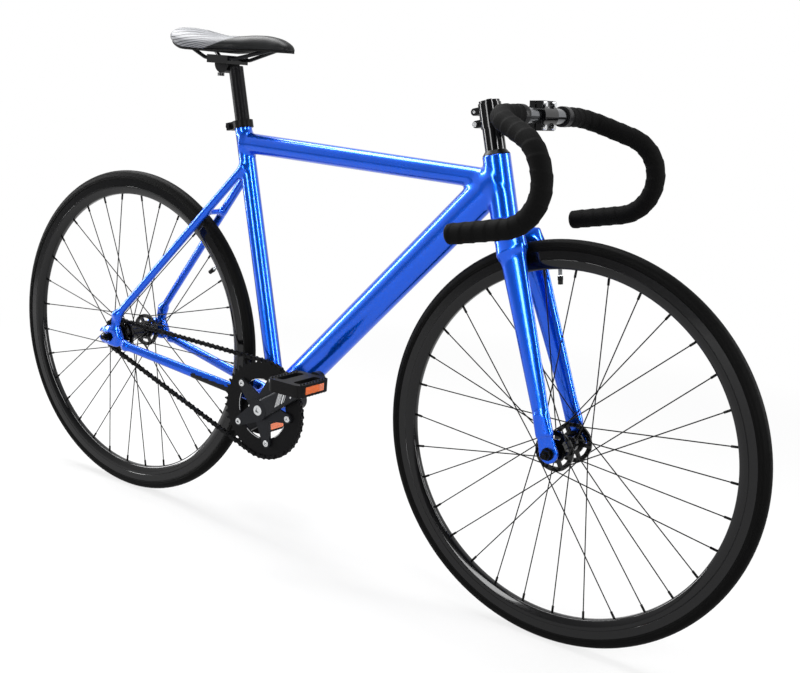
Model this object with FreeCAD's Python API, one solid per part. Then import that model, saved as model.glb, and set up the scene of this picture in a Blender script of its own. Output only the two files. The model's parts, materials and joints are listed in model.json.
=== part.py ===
import FreeCAD, Part
import math
import os

# A fixed gear bicycle in millimetres: x forward, y to the rider's left, z up.
# The ground is z = 0 and the origin lies midway between the two axles.
# Lengths below are full sizes unless the name says radius; angles are in degrees.

# Wheels and frame geometry
WHEELBASE = 1004.0
TYRE_RADIUS = 335.0
BRACKET_DROP = 67.0
SEAT_ANGLE = 76.5
HEAD_ANGLE = 74.8
FORK_RAKE = 52.0
CROWN_HEIGHT = 374.0
HEAD_TUBE_LENGTH = 103.0
SEAT_TUBE_LENGTH = 539.0
REAR_SPACING = 120.0
FRONT_SPACING = 100.0

# Clearances: running fits, play between moving pieces, and one overrun for every cut
RUNNING_CLEARANCE = 0.05
PLAY = 0.3
OVERRUN = 5.0

# Frame tubes
HEAD_TUBE_RADIUS = 23.0
HEAD_TUBE_BORE_RADIUS = 18.6
SEAT_TUBE_RADIUS = 15.9
SEATPOST_RADIUS = 13.6
TOP_TUBE_SEAT_RADIUS = 19.0
TOP_TUBE_HEAD_RADIUS = 17.0
TOP_TUBE_SEAT_DROP = 39.0
TOP_TUBE_SEAT_HEIGHT = SEAT_TUBE_LENGTH - TOP_TUBE_SEAT_DROP
TOP_TUBE_HEAD_HEIGHT = 61.0
DOWN_TUBE_DEPTH = 59.0
DOWN_TUBE_WIDTH = 44.0
DOWN_TUBE_RISE = 9.5
DOWN_TUBE_HEAD_HEIGHT = 66.0
TUBE_WALL = 2.0
SHELL_RADIUS = 20.0
SHELL_LENGTH = 68.0
SHELL_BORE_RADIUS = 17.4

# Stays, with their own distances from the rear axle or the bottom bracket
CHAIN_STAY_AHEAD = 42.0
CHAIN_STAY_DROP = 12.0
CHAIN_STAY_BRACKET_SIDE = 19.0
CHAIN_STAY_BRACKET_RISE = 5.0
CHAIN_STAY_WIDTH = 16.0
CHAIN_STAY_DEPTH = 24.0
CHAIN_STAY_END_WIDTH = 15.0
CHAIN_STAY_END_DEPTH = 17.0
SEAT_STAY_AHEAD = 17.0
SEAT_STAY_RISE = 45.0
SEAT_STAY_TOP_DROP = 83.0
SEAT_STAY_TOP_HEIGHT = SEAT_TUBE_LENGTH - SEAT_STAY_TOP_DROP
SEAT_STAY_TOP_SIDE = 9.5
SEAT_STAY_RADIUS = 8.2
SEAT_STAY_END_RADIUS = 7.2
STAY_BRIDGE_RADIUS = 5.0
STAY_WALL = 2.0
STAY_PLUG = 30.0
TYRE_ROOM = 12.0

# Track ends and their linings
TRACK_END_THICKNESS = 7.0
TRACK_END_RADIUS = 17.0
TRACK_END_REAR = 15.0
TRACK_END_FRONT = 12.0
TRACK_TONGUE_RADIUS = 6.0
TRACK_SLOT_FRONT = 6.0
AXLE_SLOT_CLEARANCE = 0.15
LINING_THICKNESS = 1.0
LINING_BORDER = 6.0

# Seat clamp
SEAT_CLAMP_HEIGHT = 14.0
SEAT_CLAMP_WALL = 3.2
SEAT_CLAMP_LIP = 2.0
SEAT_CLAMP_SLIT = 3.0
SEAT_CLAMP_EAR = 11.0
SEAT_CLAMP_EAR_WIDTH = 22.0
CLAMP_BOLT_RADIUS = 2.5
CLAMP_BOLT_HEAD_RADIUS = 4.2
CLAMP_BOLT_HEAD = 4.5
SEAT_TUBE_SLOT_LENGTH = 38.0

# Headset, spacers and steerer
STEERER_RADIUS = 14.3
STEERER_BORE_RADIUS = 11.8
HEAD_BEARING_RADIUS = 20.9
HEAD_BEARING_SPLIT_RADIUS = 17.4
HEAD_BEARING_HEIGHT = 7.0
HEADSET_GAP = 3.5
CROWN_RACE_RADIUS = 20.0
TOP_COVER_HEIGHT = 7.0
TOP_COVER_RADIUS = 22.5
SPACER_RADIUS = 17.2
SPACER_HEIGHT = 9.0
SPACER_COUNT = 4

# Fork
CROWN_TOP_RADIUS = 21.0
CROWN_DEPTH = 30.0
CROWN_LENGTH = 62.0
CROWN_WIDTH = 84.0
CROWN_CORNER_RADIUS = 20.0
BLADE_TOP_AHEAD = 21.5
BLADE_TOP_SIDE = 30.0
BLADE_TOP_LENGTH = 48.0
BLADE_TOP_WIDTH = 21.0
BLADE_END_HEIGHT = 30.0
BLADE_END_LENGTH = 27.0
BLADE_END_WIDTH = 14.0
BLADE_END_SIDE = 53.0
BLADE_WALL = 2.5
BLADE_PLUG = 36.0
FORK_TIP_THICKNESS = 7.0
FORK_TIP_RADIUS = 16.0
FORK_TIP_TONGUE_RADIUS = 8.0
FORK_TIP_TONGUE_HEIGHT = 40.0

# Stem, with the bar clamp ahead of the steerer
STEM_LENGTH = 92.0
STEM_RISE_ANGLE = 4.3
STEM_CLAMP_HEIGHT = 40.0
STEM_CLAMP_RADIUS = 18.8
STEM_NECK_RADIUS = 15.5
STEM_NECK_END_RADIUS = 14.0
STEM_SLIT = 3.0
STEM_EAR = 12.0
STEM_EAR_WIDTH = 20.0
BAR_CLAMP_RADIUS = 18.2
BAR_CLAMP_WIDTH = 44.0
BAR_CLAMP_GAP = 2.4
BAR_CLAMP_EAR_HEIGHT = 46.0
BAR_CLAMP_EAR_LENGTH = 22.0
STEM_BOLT_RADIUS = 2.5
STEM_BOLT_HEAD_RADIUS = 4.2
STEM_BOLT_HEAD = 4.5
STEM_BOLT_SIDE = 15.0
TOP_CAP_RADIUS = 17.0
TOP_CAP_THICKNESS = 4.0
TOP_CAP_BOLT_RADIUS = 5.0
TOP_CAP_BOLT_HEAD = 2.5

# Drop handlebar: corners of its centre line, measured from the clamp centre
BAR_RADIUS = 12.7
BAR_WALL = 2.2
BAR_SHOULDER_SIDE = 150.0
BAR_HALF_WIDTH = 203.0
BAR_HOOK_AHEAD = 108.0
BAR_HOOK_DROP = 38.0
BAR_BEND_AHEAD = 129.0
BAR_BEND_DROP = 144.0
BAR_END_BEHIND = 25.0
BAR_END_DROP = 177.0
BAR_SHOULDER_BEND_RADIUS = 58.0
BAR_HOOK_BEND_RADIUS = 67.0
TAPE_START = 66.0
TAPE_THICKNESS = 3.6
TAPE_LAP = 0.9
TAPE_PITCH = 21.0
PLUG_RADIUS = 15.5
PLUG_THICKNESS = 4.0

# Seatpost and saddle clamp
SEATPOST_LENGTH = 300.0
SEATPOST_SHOWN = 101.0
SEATPOST_HEIGHT = SEAT_TUBE_LENGTH + SEATPOST_SHOWN
SEATPOST_WALL = 2.4
CLAMP_SETBACK = 22.0
CLAMP_LENGTH = 52.0
CLAMP_WIDTH = 56.0
CLAMP_LOWER_HEIGHT = 9.0
CLAMP_UPPER_HEIGHT = 6.0
CLAMP_RISE = 14.0
CRADLE_RADIUS = 17.0
CRADLE_WIDTH = 32.0
CRADLE_BOLT_RADIUS = 4.0
CRADLE_BOLT_HEAD_RADIUS = 6.5
CRADLE_BOLT_HEAD = 6.0
CRADLE_BOLT_BACK = 15.0

# Saddle
SADDLE_LENGTH = 262.0
SADDLE_WIDTH = 138.0
SADDLE_NOSE_AHEAD = 158.0
SADDLE_BASE_RISE = 14.0
SADDLE_CROWN = 33.0
SADDLE_SHELL_THICKNESS = 3.0
SADDLE_SHELL_INSET = 2.0
SADDLE_REAR_RISE = 8.0
RAIL_RADIUS = 3.5
RAIL_SIDE = 22.0
RAIL_BEND_RADIUS = 16.0
RAIL_STRAIGHT = 72.0
RAIL_FRONT_SIDE = 7.0
RAIL_FRONT_AHEAD = 118.0
RAIL_REAR_SIDE = 34.0
RAIL_REAR_BEHIND = 74.0

# Wheels
TYRE_SEAT_DEPTH = 24.0
RIM_SEAT_RADIUS = TYRE_RADIUS - TYRE_SEAT_DEPTH
RIM_HOOK_HEIGHT = 6.0
RIM_RADIUS = RIM_SEAT_RADIUS + RIM_HOOK_HEIGHT
RIM_DEPTH = 30.0
RIM_INNER_RADIUS = RIM_RADIUS - RIM_DEPTH
RIM_WIDTH = 22.0
RIM_HOOK_WALL = 1.8
RIM_BED_WALL = 1.2
RIM_NOSE_WALL = 2.0
RIM_SIDE_WALL = 1.1
RIM_BAND_HEIGHT = 14.0
RIM_SHOULDER_RADIUS = RIM_RADIUS - RIM_BAND_HEIGHT
RIM_NOSE_WIDTH = 11.0
TYRE_WIDTH = 25.0
TYRE_CROWN_WALL = 2.4
TUBE_RADIUS = 9.4
TUBE_SEAT_WIDTH = 13.4
INNER_TUBE_WALL = 1.0
VALVE_RADIUS = 3.0
VALVE_BORE_RADIUS = 1.2
VALVE_CLEARANCE = 0.3
VALVE_LENGTH = 24.0
VALVE_CAP_RADIUS = 4.0
VALVE_CAP_LENGTH = 13.0
SPOKES_PER_FLANGE = 16
SPOKE_CROSSINGS = 3
SPOKE_RADIUS = 1.0
SPOKE_HOLE_CLEARANCE = 0.25
SPOKE_HEAD_RADIUS = 2.0
SPOKE_HEAD = 1.4
SPOKE_CIRCLE_RADIUS = 29.5
SPOKE_OUTER_STEP = 3.4
SPOKE_INNER_STEP = 1.5
NIPPLE_RADIUS = 2.0
NIPPLE_LENGTH = 12.0
NIPPLE_HOLE_CLEARANCE = 0.7
NIPPLE_HEAD_RADIUS = 3.2
NIPPLE_HEAD = 2.4
NIPPLE_SEAT_GAP = 0.7
FRONT_SPOKE_PHASE = 2.6
REAR_SPOKE_PHASE = 9.2
FRONT_VALVE_STEP = 8.5
REAR_VALVE_STEP = 2.5

# Hubs and axles
FLANGE_RADIUS = 33.5
FLANGE_WIDTH = 4.0
FLANGE_SIDE = 33.0
FLANGE_WINDOWS = 6
FLANGE_WINDOW_INNER_RADIUS = 19.5
FLANGE_WINDOW_OUTER_RADIUS = 26.0
FLANGE_WINDOW_ANGLE = 40.0
HUB_BARREL_RADIUS = 15.0
HUB_END_RADIUS = 17.0
HUB_END_SIDE = 38.0
HUB_BORE_CLEARANCE = 1.5
HUB_BEARING_RADIUS = 13.0
HUB_BEARING_WIDTH = 8.0
FRONT_AXLE_RADIUS = 4.5
REAR_AXLE_RADIUS = 5.0
AXLE_FREE_END = 8.0
AXLE_END_STEP = 0.4
CONE_RADIUS = 8.5
LOCKNUT_RADIUS = 10.0
LOCKNUT_THICKNESS = 5.0
AXLE_NUT_FLATS = 15.0
AXLE_NUT_HEIGHT = 8.0
AXLE_WASHER_RADIUS = 10.5
AXLE_WASHER_THICKNESS = 2.0

# Drive: chain, chainring, cog and lockring
CHAIN_LINKS = 96
CHAIN_PITCH = 12.7
CHAINRING_TEETH = 46
COG_TEETH = 16
CHAIN_LINE = 45.0
ROLLER_RADIUS = 3.875
ROLLER_WIDTH = 3.3
PIN_RADIUS = 1.8
PIN_LENGTH = 9.2
LINK_CLEARANCE = 0.1
LINK_PLATE_THICKNESS = 1.0
LINK_PLATE_HEIGHT = 8.4
LINK_WAIST_RADIUS = 2.9
TOOTH_HEIGHT = 3.4
TOOTH_TIP = 2.0
SPROCKET_THICKNESS = 3.0
SEAT_ARC_ANGLE = 120.0
CHAINRING_INNER_RADIUS = 57.0
COG_SEAT_RADIUS = 17.3
COG_CARRIER_RADIUS = 23.0
COG_CARRIER_INNER = 5.0
COG_CARRIER_OUTER = 3.0
LOCKRING_SEAT_RADIUS = 16.4
LOCKRING_RADIUS = 20.5
LOCKRING_THICKNESS = 4.0
LOCKRING_NOTCHES = 3
LOCKRING_NOTCH = 4.0
HUB_DRIVE_END = 53.0

# Crankset
CRANK_LENGTH = 170.0
CRANK_ANGLE = 33.0
CRANK_BOSS_INNER = 38.0
CRANK_BOSS_OUTER = 61.0
CRANK_BOSS_RADIUS = 20.0
CRANK_ROOT_HEIGHT = 36.0
CRANK_ROOT_INNER = 45.0
CRANK_ROOT_OUTER = 59.0
CRANK_END_HEIGHT = 26.0
CRANK_END_INNER = 62.0
CRANK_END_OUTER = 75.0
CRANK_EYE_RADIUS = 14.5
CRANK_EDGE_RADIUS = 4.0
TAPER_END = 55.0
TAPER_ROOT_SIZE = 12.9
TAPER_END_SIZE = 12.0
SPINDLE_RADIUS = 8.5
CUP_LIP_RADIUS = 20.0
CUP_LIP = 2.5
CUP_DEPTH = 20.0
BOLT_CIRCLE_RADIUS = 65.0
SPIDER_ARMS = 5
SPIDER_THICKNESS = 5.0
SPIDER_ROOT_WIDTH = 34.0
SPIDER_PAD_RADIUS = 9.0
RING_BOLT_RADIUS = 5.0
RING_BOLT_HEAD_RADIUS = 6.2
RING_BOLT_HEAD = 1.5
CRANK_BOLT_RADIUS = 4.0
CRANK_BOLT_HEAD_RADIUS = 10.0
CRANK_BOLT_DEPTH = 15.0

# Pedals
PEDAL_THREAD_RADIUS = 7.0
PEDAL_COLLAR_RADIUS = 9.0
PEDAL_COLLAR = 3.0
PEDAL_JOURNAL_RADIUS = 4.5
PEDAL_WIDTH = 84.0
PEDAL_LENGTH = 74.0
PEDAL_HEIGHT = 22.0
PEDAL_BARREL_RADIUS = 11.0
PEDAL_RAIL = 10.0
PEDAL_CHEEK = 12.0
PEDAL_CORNER_RADIUS = 12.0
PEDAL_WINDOW_RADIUS = 5.0
PEDAL_CAP = 3.0
REFLECTOR_LENGTH = 50.0
REFLECTOR_HEIGHT = 13.0
REFLECTOR_THICKNESS = 3.0

# Shares of the saddle's length from tail to nose, and of its sizes at each of these stations
STATION_SHARES = (0.0, 0.05, 0.14, 0.26, 0.40, 0.54, 0.68, 0.82, 0.93, 0.98, 1.0)
WIDTH_SHARES = (0.66, 0.88, 1.0, 0.96, 0.72, 0.45, 0.34, 0.29, 0.25, 0.18, 0.10)
CROWN_SHARES = (0.80, 0.96, 1.0, 0.92, 0.80, 0.74, 0.74, 0.72, 0.62, 0.48, 0.34)
BASE_SHARES = (1.0, 0.60, 0.20, 0.0, 0.12, 0.40, 0.66, 0.86, 1.0, 1.06, 1.1)
COVER_BASE_SHARE = 0.90
COVER_SHOULDER_SHARE = 0.80
COVER_SHOULDER_HEIGHT_SHARE = 0.72
COVER_BULGE_HEIGHT_SHARE = 0.34

# Share of a tape wrap over which its lapped edge rises
TAPE_EDGE_SHARE = 0.12

Y_AXIS = FreeCAD.Vector(0, 1, 0)
Z_AXIS = FreeCAD.Vector(0, 0, 1)


def vec(x, y, z):
    return FreeCAD.Vector(x, y, z)


def polar(radius, angle):
    """Point in the wheel plane at an angle from straight ahead, upwards."""
    turn = math.radians(angle)
    return vec(radius * math.cos(turn), 0, radius * math.sin(turn))


def side(distance):
    return vec(0, distance, 0)


def pitch_radius(teeth):
    return CHAIN_PITCH / (2 * math.sin(math.pi / teeth))


def chain_lean(distance):
    """Angle between the straight chain runs and the line of centres."""
    return math.asin((pitch_radius(CHAINRING_TEETH) - pitch_radius(COG_TEETH)) / distance)


def run_length(distance):
    return distance * math.cos(chain_lean(distance))


def wrap_links(teeth, angle):
    return teeth * angle / (2 * math.pi)


def loop_links(distance):
    """Chain links that a loop over both sprockets takes at this centre distance."""
    lean = chain_lean(distance)
    front = wrap_links(CHAINRING_TEETH, math.pi + 2 * lean)
    rear = wrap_links(COG_TEETH, math.pi - 2 * lean)
    return front + rear + 2 * run_length(distance) / CHAIN_PITCH


def tensioned_stay():
    """Centre distance at which the chain is just taut."""
    low = pitch_radius(CHAINRING_TEETH)
    high = CHAIN_LINKS * CHAIN_PITCH
    while high - low > RUNNING_CLEARANCE * RUNNING_CLEARANCE / CHAIN_PITCH:
        middle = (low + high) / 2
        if loop_links(middle) < CHAIN_LINKS:
            low = middle
        else:
            high = middle
    return (low + high) / 2


# Main points and directions of the bicycle
STAY_LENGTH = tensioned_stay()
REAR_AXLE = vec(-WHEELBASE / 2, 0, TYRE_RADIUS)
FRONT_AXLE = vec(WHEELBASE / 2, 0, TYRE_RADIUS)
BRACKET = REAR_AXLE + vec(math.sqrt(STAY_LENGTH ** 2 - BRACKET_DROP ** 2), 0, -BRACKET_DROP)
STEER_UP = polar(1, 180 - HEAD_ANGLE)
STEER_AHEAD = polar(1, 90 - HEAD_ANGLE)
STEER_FOOT = FRONT_AXLE - STEER_AHEAD * FORK_RAKE
SEAT_UP = polar(1, 180 - SEAT_ANGLE)
SEAT_AHEAD = polar(1, 90 - SEAT_ANGLE)
HEAD_BOTTOM = CROWN_HEIGHT + HEADSET_GAP
HEAD_TOP = HEAD_BOTTOM + HEAD_TUBE_LENGTH
SPACER_BOTTOM = HEAD_TOP + PLAY + TOP_COVER_HEIGHT
STEM_BOTTOM = SPACER_BOTTOM + SPACER_COUNT * SPACER_HEIGHT
STEM_MIDDLE = STEM_BOTTOM + STEM_CLAMP_HEIGHT / 2
STEM_TOP = STEM_BOTTOM + STEM_CLAMP_HEIGHT
STEM_AHEAD = polar(1, STEM_RISE_ANGLE)
STEM_UP = polar(1, 90 + STEM_RISE_ANGLE)
REAR_FACE = REAR_SPACING / 2
FRONT_FACE = FRONT_SPACING / 2


def steer(height, ahead=0, across=0):
    """Point by height along the steering axis, distance ahead of it and to the left."""
    return STEER_FOOT + STEER_UP * height + STEER_AHEAD * ahead + side(across)


def seat(height, ahead=0, across=0):
    """Point by height along the seat tube from the bottom bracket."""
    return BRACKET + SEAT_UP * height + SEAT_AHEAD * ahead + side(across)


BAR_CENTRE = steer(STEM_MIDDLE) + STEM_AHEAD * STEM_LENGTH


def rod(start, end, radius):
    return Part.makeCylinder(radius, (end - start).Length, start, end - start)


def ring(start, end, outer, inner):
    return rod(start, end, outer).cut(rod(start, end, inner))


def cone(start, end, first, last):
    return Part.makeCone(first, last, (end - start).Length, start, end - start)


def cross_rod(centre, start, end, radius):
    """Round bar across the bicycle between two distances to the left."""
    return rod(centre + side(start), centre + side(end), radius)


def cross_ring(centre, start, end, outer, inner):
    return cross_rod(centre, start, end, outer).cut(cross_rod(centre, start, end, inner))


def block(centre, ahead, up, length, width, height):
    """Box around a centre, its length along one direction and its height along another."""
    corner = centre - ahead * (length / 2) - up * (height / 2) - side(width / 2)
    points = [corner, corner + ahead * length, corner + ahead * length + side(width), corner + side(width)]
    face = Part.Face(Part.makePolygon(points + points[:1]))
    return face.extrude(up * height)


def oval(centre, first, second, first_size, second_size):
    """Closed ellipse with full sizes along two directions."""
    if first_size < second_size:
        first, second, first_size, second_size = second, first, second_size, first_size
    curve = Part.Ellipse(centre + first * (first_size / 2), centre + second * (second_size / 2), centre)
    return Part.Wire(curve.toShape())


def rounded_outline(centre, first, second, length, height, radius):
    """Rectangle with round corners, as one closed wire."""
    edges = []
    corners = []
    for along, up in ((1, 1), (-1, 1), (-1, -1), (1, -1)):
        middle = centre + first * (along * (length / 2 - radius)) + second * (up * (height / 2 - radius))
        out = first * (along * radius)
        rise = second * (up * radius)
        ends = [middle + out, middle + rise]
        if along * up < 0:
            ends.reverse()
        corners.append((ends[0], middle + (out + rise) * math.sqrt(0.5), ends[1]))
    for index, corner in enumerate(corners):
        edges.append(Part.Arc(*corner).toShape())
        edges.append(Part.makeLine(corner[2], corners[(index + 1) % len(corners)][0]))
    return Part.Wire(edges)


def stadium(start, end, radius, thickness):
    """Flat bar with round ends in the wheel plane, its thickness to the left."""
    bar = cross_rod(start, 0, thickness, radius).fuse(cross_rod(end, 0, thickness, radius))
    along = (end - start).normalize()
    up = along.cross(Y_AXIS)
    middle = (start + end) * 0.5 + side(thickness / 2)
    return bar.fuse(block(middle, along, up, (end - start).Length, thickness, 2 * radius)).removeSplitter()


def loft(*wires):
    return Part.makeLoft(list(wires), True, True)


def mirrored(shape):
    return shape.mirror(vec(0, 0, 0), Y_AXIS)


def both_sides(shape):
    return [shape, mirrored(shape)]


def turned(shape, centre, angle):
    """Copy of a shape turned about a cross axis, forward side up for a positive angle."""
    copy = shape.copy()
    copy.rotate(centre, Y_AXIS, -angle)
    return copy


def bent_path(points, radii):
    """Straight runs joined by tangent arcs, as edges in order."""
    edges = []
    start = points[0]
    for before, corner, after, radius in zip(points, points[1:], points[2:], radii):
        back = (before - corner).normalize()
        on = (after - corner).normalize()
        half = back.getAngle(on) / 2
        middle = corner + (back + on).normalize() * (radius / math.sin(half) - radius)
        first = corner + back * (radius / math.tan(half))
        last = corner + on * (radius / math.tan(half))
        edges.append(Part.makeLine(start, first))
        edges.append(Part.Arc(first, middle, last).toShape())
        start = last
    edges.append(Part.makeLine(start, points[-1]))
    return edges


def bent_rod(points, radii, radius):
    path = Part.Wire(bent_path(points, radii))
    section = Part.Wire(Part.makeCircle(radius, points[0], points[1] - points[0]))
    return path.makePipeShell([section], True, False)


def hexagon(centre, start, end, flats):
    """Hexagonal bar across the bicycle."""
    corner = flats / math.sqrt(3)
    points = [centre + side(start) + polar(corner, 60 * index) for index in range(7)]
    return Part.Face(Part.makePolygon(points)).extrude(side(end - start))


def save(name, solids):
    """Write one piece, or a set of like pieces, as a sub-part."""
    shapes = []
    for solid in solids:
        shapes.extend(solid.Solids)
    for shape in shapes:
        if not shape.isValid() or shape.Volume <= 0:
            print("check", name)
    Part.makeCompound(shapes).exportStep("parts/" + name + ".step")
    print(name, len(shapes), round(sum(shape.Volume for shape in shapes)))


def head_tube_solid():
    return rod(steer(HEAD_BOTTOM), steer(HEAD_TOP), HEAD_TUBE_RADIUS)


def seat_tube_solid():
    return rod(BRACKET, seat(SEAT_TUBE_LENGTH), SEAT_TUBE_RADIUS)


def shell_solid():
    return cross_rod(BRACKET, -SHELL_LENGTH / 2, SHELL_LENGTH / 2, SHELL_RADIUS)


def top_tube_ends():
    return seat(TOP_TUBE_SEAT_HEIGHT), steer(HEAD_BOTTOM + TOP_TUBE_HEAD_HEIGHT)


def top_tube_solid(inset):
    start, end = top_tube_ends()
    return cone(start, end, TOP_TUBE_SEAT_RADIUS - inset, TOP_TUBE_HEAD_RADIUS - inset)


def down_tube_solid(inset):
    start = BRACKET + vec(0, 0, DOWN_TUBE_RISE)
    end = steer(HEAD_BOTTOM + DOWN_TUBE_HEAD_HEIGHT)
    up = (end - start).normalize().cross(Y_AXIS)
    wire = oval(start, up, Y_AXIS, DOWN_TUBE_DEPTH - 2 * inset, DOWN_TUBE_WIDTH - 2 * inset)
    return Part.Face(wire).extrude(end - start)


def head_tube():
    tube = head_tube_solid().cut(rod(steer(HEAD_BOTTOM), steer(HEAD_TOP), HEAD_TUBE_BORE_RADIUS))
    lower = rod(steer(HEAD_BOTTOM), steer(HEAD_BOTTOM + HEAD_BEARING_HEIGHT), HEAD_BEARING_RADIUS)
    upper = rod(steer(HEAD_TOP - HEAD_BEARING_HEIGHT), steer(HEAD_TOP), HEAD_BEARING_RADIUS)
    return tube.cut(lower).cut(upper)


def top_tube():
    tube = top_tube_solid(0).cut(top_tube_solid(TUBE_WALL))
    return tube.cut(seat_tube_solid()).cut(head_tube_solid())


def down_tube():
    tube = down_tube_solid(0).cut(down_tube_solid(TUBE_WALL))
    tube = tube.cut(shell_solid()).cut(seat_tube_solid()).cut(head_tube_solid()).cut(top_tube_solid(0))
    start, end = top_tube_ends()
    along = (end - start).normalize()
    up = along.cross(Y_AXIS)
    above = block((start + end) * 0.5 + up * DOWN_TUBE_DEPTH, along, up, 2 * (end - start).Length,
                  2 * DOWN_TUBE_WIDTH, 2 * DOWN_TUBE_DEPTH)
    return tube.cut(above)


def seat_tube():
    tube = seat_tube_solid().cut(rod(BRACKET, seat(SEAT_TUBE_LENGTH), SEATPOST_RADIUS + RUNNING_CLEARANCE))
    slot = block(seat(SEAT_TUBE_LENGTH, -SEAT_TUBE_RADIUS), SEAT_AHEAD, SEAT_UP, SEAT_TUBE_RADIUS,
                 SEAT_CLAMP_SLIT, 2 * SEAT_TUBE_SLOT_LENGTH)
    return tube.cut(shell_solid()).cut(slot)


def bottom_bracket_shell():
    half = SHELL_LENGTH / 2
    return cross_ring(BRACKET, -half, half, SHELL_RADIUS, SHELL_BORE_RADIUS)


def stay_side():
    """Distance of the stays' rear ends from the middle plane."""
    return REAR_FACE + TRACK_END_THICKNESS / 2


def chain_stay_ends():
    front = BRACKET + vec(0, CHAIN_STAY_BRACKET_SIDE, CHAIN_STAY_BRACKET_RISE)
    rear = REAR_AXLE + vec(CHAIN_STAY_AHEAD, stay_side(), -CHAIN_STAY_DROP)
    return front, rear


def seat_stay_ends():
    top = seat(SEAT_STAY_TOP_HEIGHT, 0, SEAT_STAY_TOP_SIDE)
    rear = REAR_AXLE + vec(SEAT_STAY_AHEAD, stay_side(), SEAT_STAY_RISE)
    return top, rear


def bridge(front, rear):
    """Cross tube between a pair of stays, with room for the tyre."""
    reach = TYRE_RADIUS + TYRE_ROOM + STAY_BRIDGE_RADIUS
    low = 0.0
    high = 1.0
    while high - low > RUNNING_CLEARANCE / WHEELBASE:
        middle = (low + high) / 2
        point = rear + (front - rear) * middle
        if (point - REAR_AXLE - side(point.y)).Length < reach:
            low = middle
        else:
            high = middle
    point = rear + (front - rear) * high
    return cross_rod(point - side(point.y), -point.y, point.y, STAY_BRIDGE_RADIUS)


def hollowed(stay, bore, front, rear):
    """Stay with its bore, left solid near the track end."""
    along = (front - rear).normalize()
    plug = rod(rear - along * STAY_PLUG, rear + along * STAY_PLUG, CHAIN_STAY_DEPTH)
    return stay.cut(bore.cut(plug))


def chain_stay_loft(inset):
    front, rear = chain_stay_ends()
    return loft(oval(front, Y_AXIS, Z_AXIS, CHAIN_STAY_WIDTH - 2 * inset, CHAIN_STAY_DEPTH - 2 * inset),
                oval(rear, Y_AXIS, Z_AXIS, CHAIN_STAY_END_WIDTH - 2 * inset,
                     CHAIN_STAY_END_DEPTH - 2 * inset))


def chain_stays(track_ends):
    front, rear = chain_stay_ends()
    bore = chain_stay_loft(STAY_WALL)
    pair = chain_stay_loft(0).fuse(mirrored(chain_stay_loft(0))).fuse(bridge(front, rear))
    pair = hollowed(pair, bore, front, rear)
    pair = hollowed(pair, mirrored(bore), front - side(2 * front.y), rear - side(2 * rear.y))
    pair = pair.cut(shell_solid()).cut(seat_tube_solid()).cut(down_tube_solid(0))
    return pair.cut(Part.makeCompound(track_ends))


def seat_stays(track_ends):
    top, rear = seat_stay_ends()
    stay = cone(rear, top, SEAT_STAY_END_RADIUS, SEAT_STAY_RADIUS)
    bore = cone(rear, top, SEAT_STAY_END_RADIUS - STAY_WALL, SEAT_STAY_RADIUS - STAY_WALL)
    pair = stay.fuse(mirrored(stay)).fuse(bridge(top, rear))
    pair = hollowed(pair, bore, top, rear)
    pair = hollowed(pair, mirrored(bore), top - side(2 * top.y), rear - side(2 * rear.y))
    return pair.cut(seat_tube_solid()).cut(Part.makeCompound(track_ends))


def axle_slot(radius, thickness):
    """Rear-opening slot around the rear axle."""
    open_end = vec(-TRACK_END_REAR - TRACK_END_RADIUS - OVERRUN, 0, 0)
    return stadium(REAR_AXLE + open_end, REAR_AXLE + vec(TRACK_SLOT_FRONT, 0, 0), radius, thickness)


def track_ends():
    slot_radius = REAR_AXLE_RADIUS + AXLE_SLOT_CLEARANCE
    plate = stadium(REAR_AXLE - vec(TRACK_END_REAR, 0, 0), REAR_AXLE + vec(TRACK_END_FRONT, 0, 0),
                    TRACK_END_RADIUS, TRACK_END_THICKNESS)
    for end in (chain_stay_ends()[1], seat_stay_ends()[1]):
        foot = REAR_AXLE + vec(TRACK_END_FRONT, 0, 0)
        plate = plate.fuse(stadium(foot, end - side(end.y), TRACK_TONGUE_RADIUS, TRACK_END_THICKNESS))
    plate = plate.removeSplitter().cut(axle_slot(slot_radius, TRACK_END_THICKNESS))
    plate.translate(side(REAR_FACE))
    return both_sides(plate)


def track_end_linings():
    slot_radius = REAR_AXLE_RADIUS + AXLE_SLOT_CLEARANCE
    plate = stadium(REAR_AXLE - vec(TRACK_END_REAR, 0, 0), REAR_AXLE + vec(TRACK_SLOT_FRONT, 0, 0),
                    slot_radius + LINING_BORDER, LINING_THICKNESS)
    plate = plate.cut(axle_slot(slot_radius, LINING_THICKNESS))
    plate.translate(side(REAR_FACE + TRACK_END_THICKNESS))
    return both_sides(plate)


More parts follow.
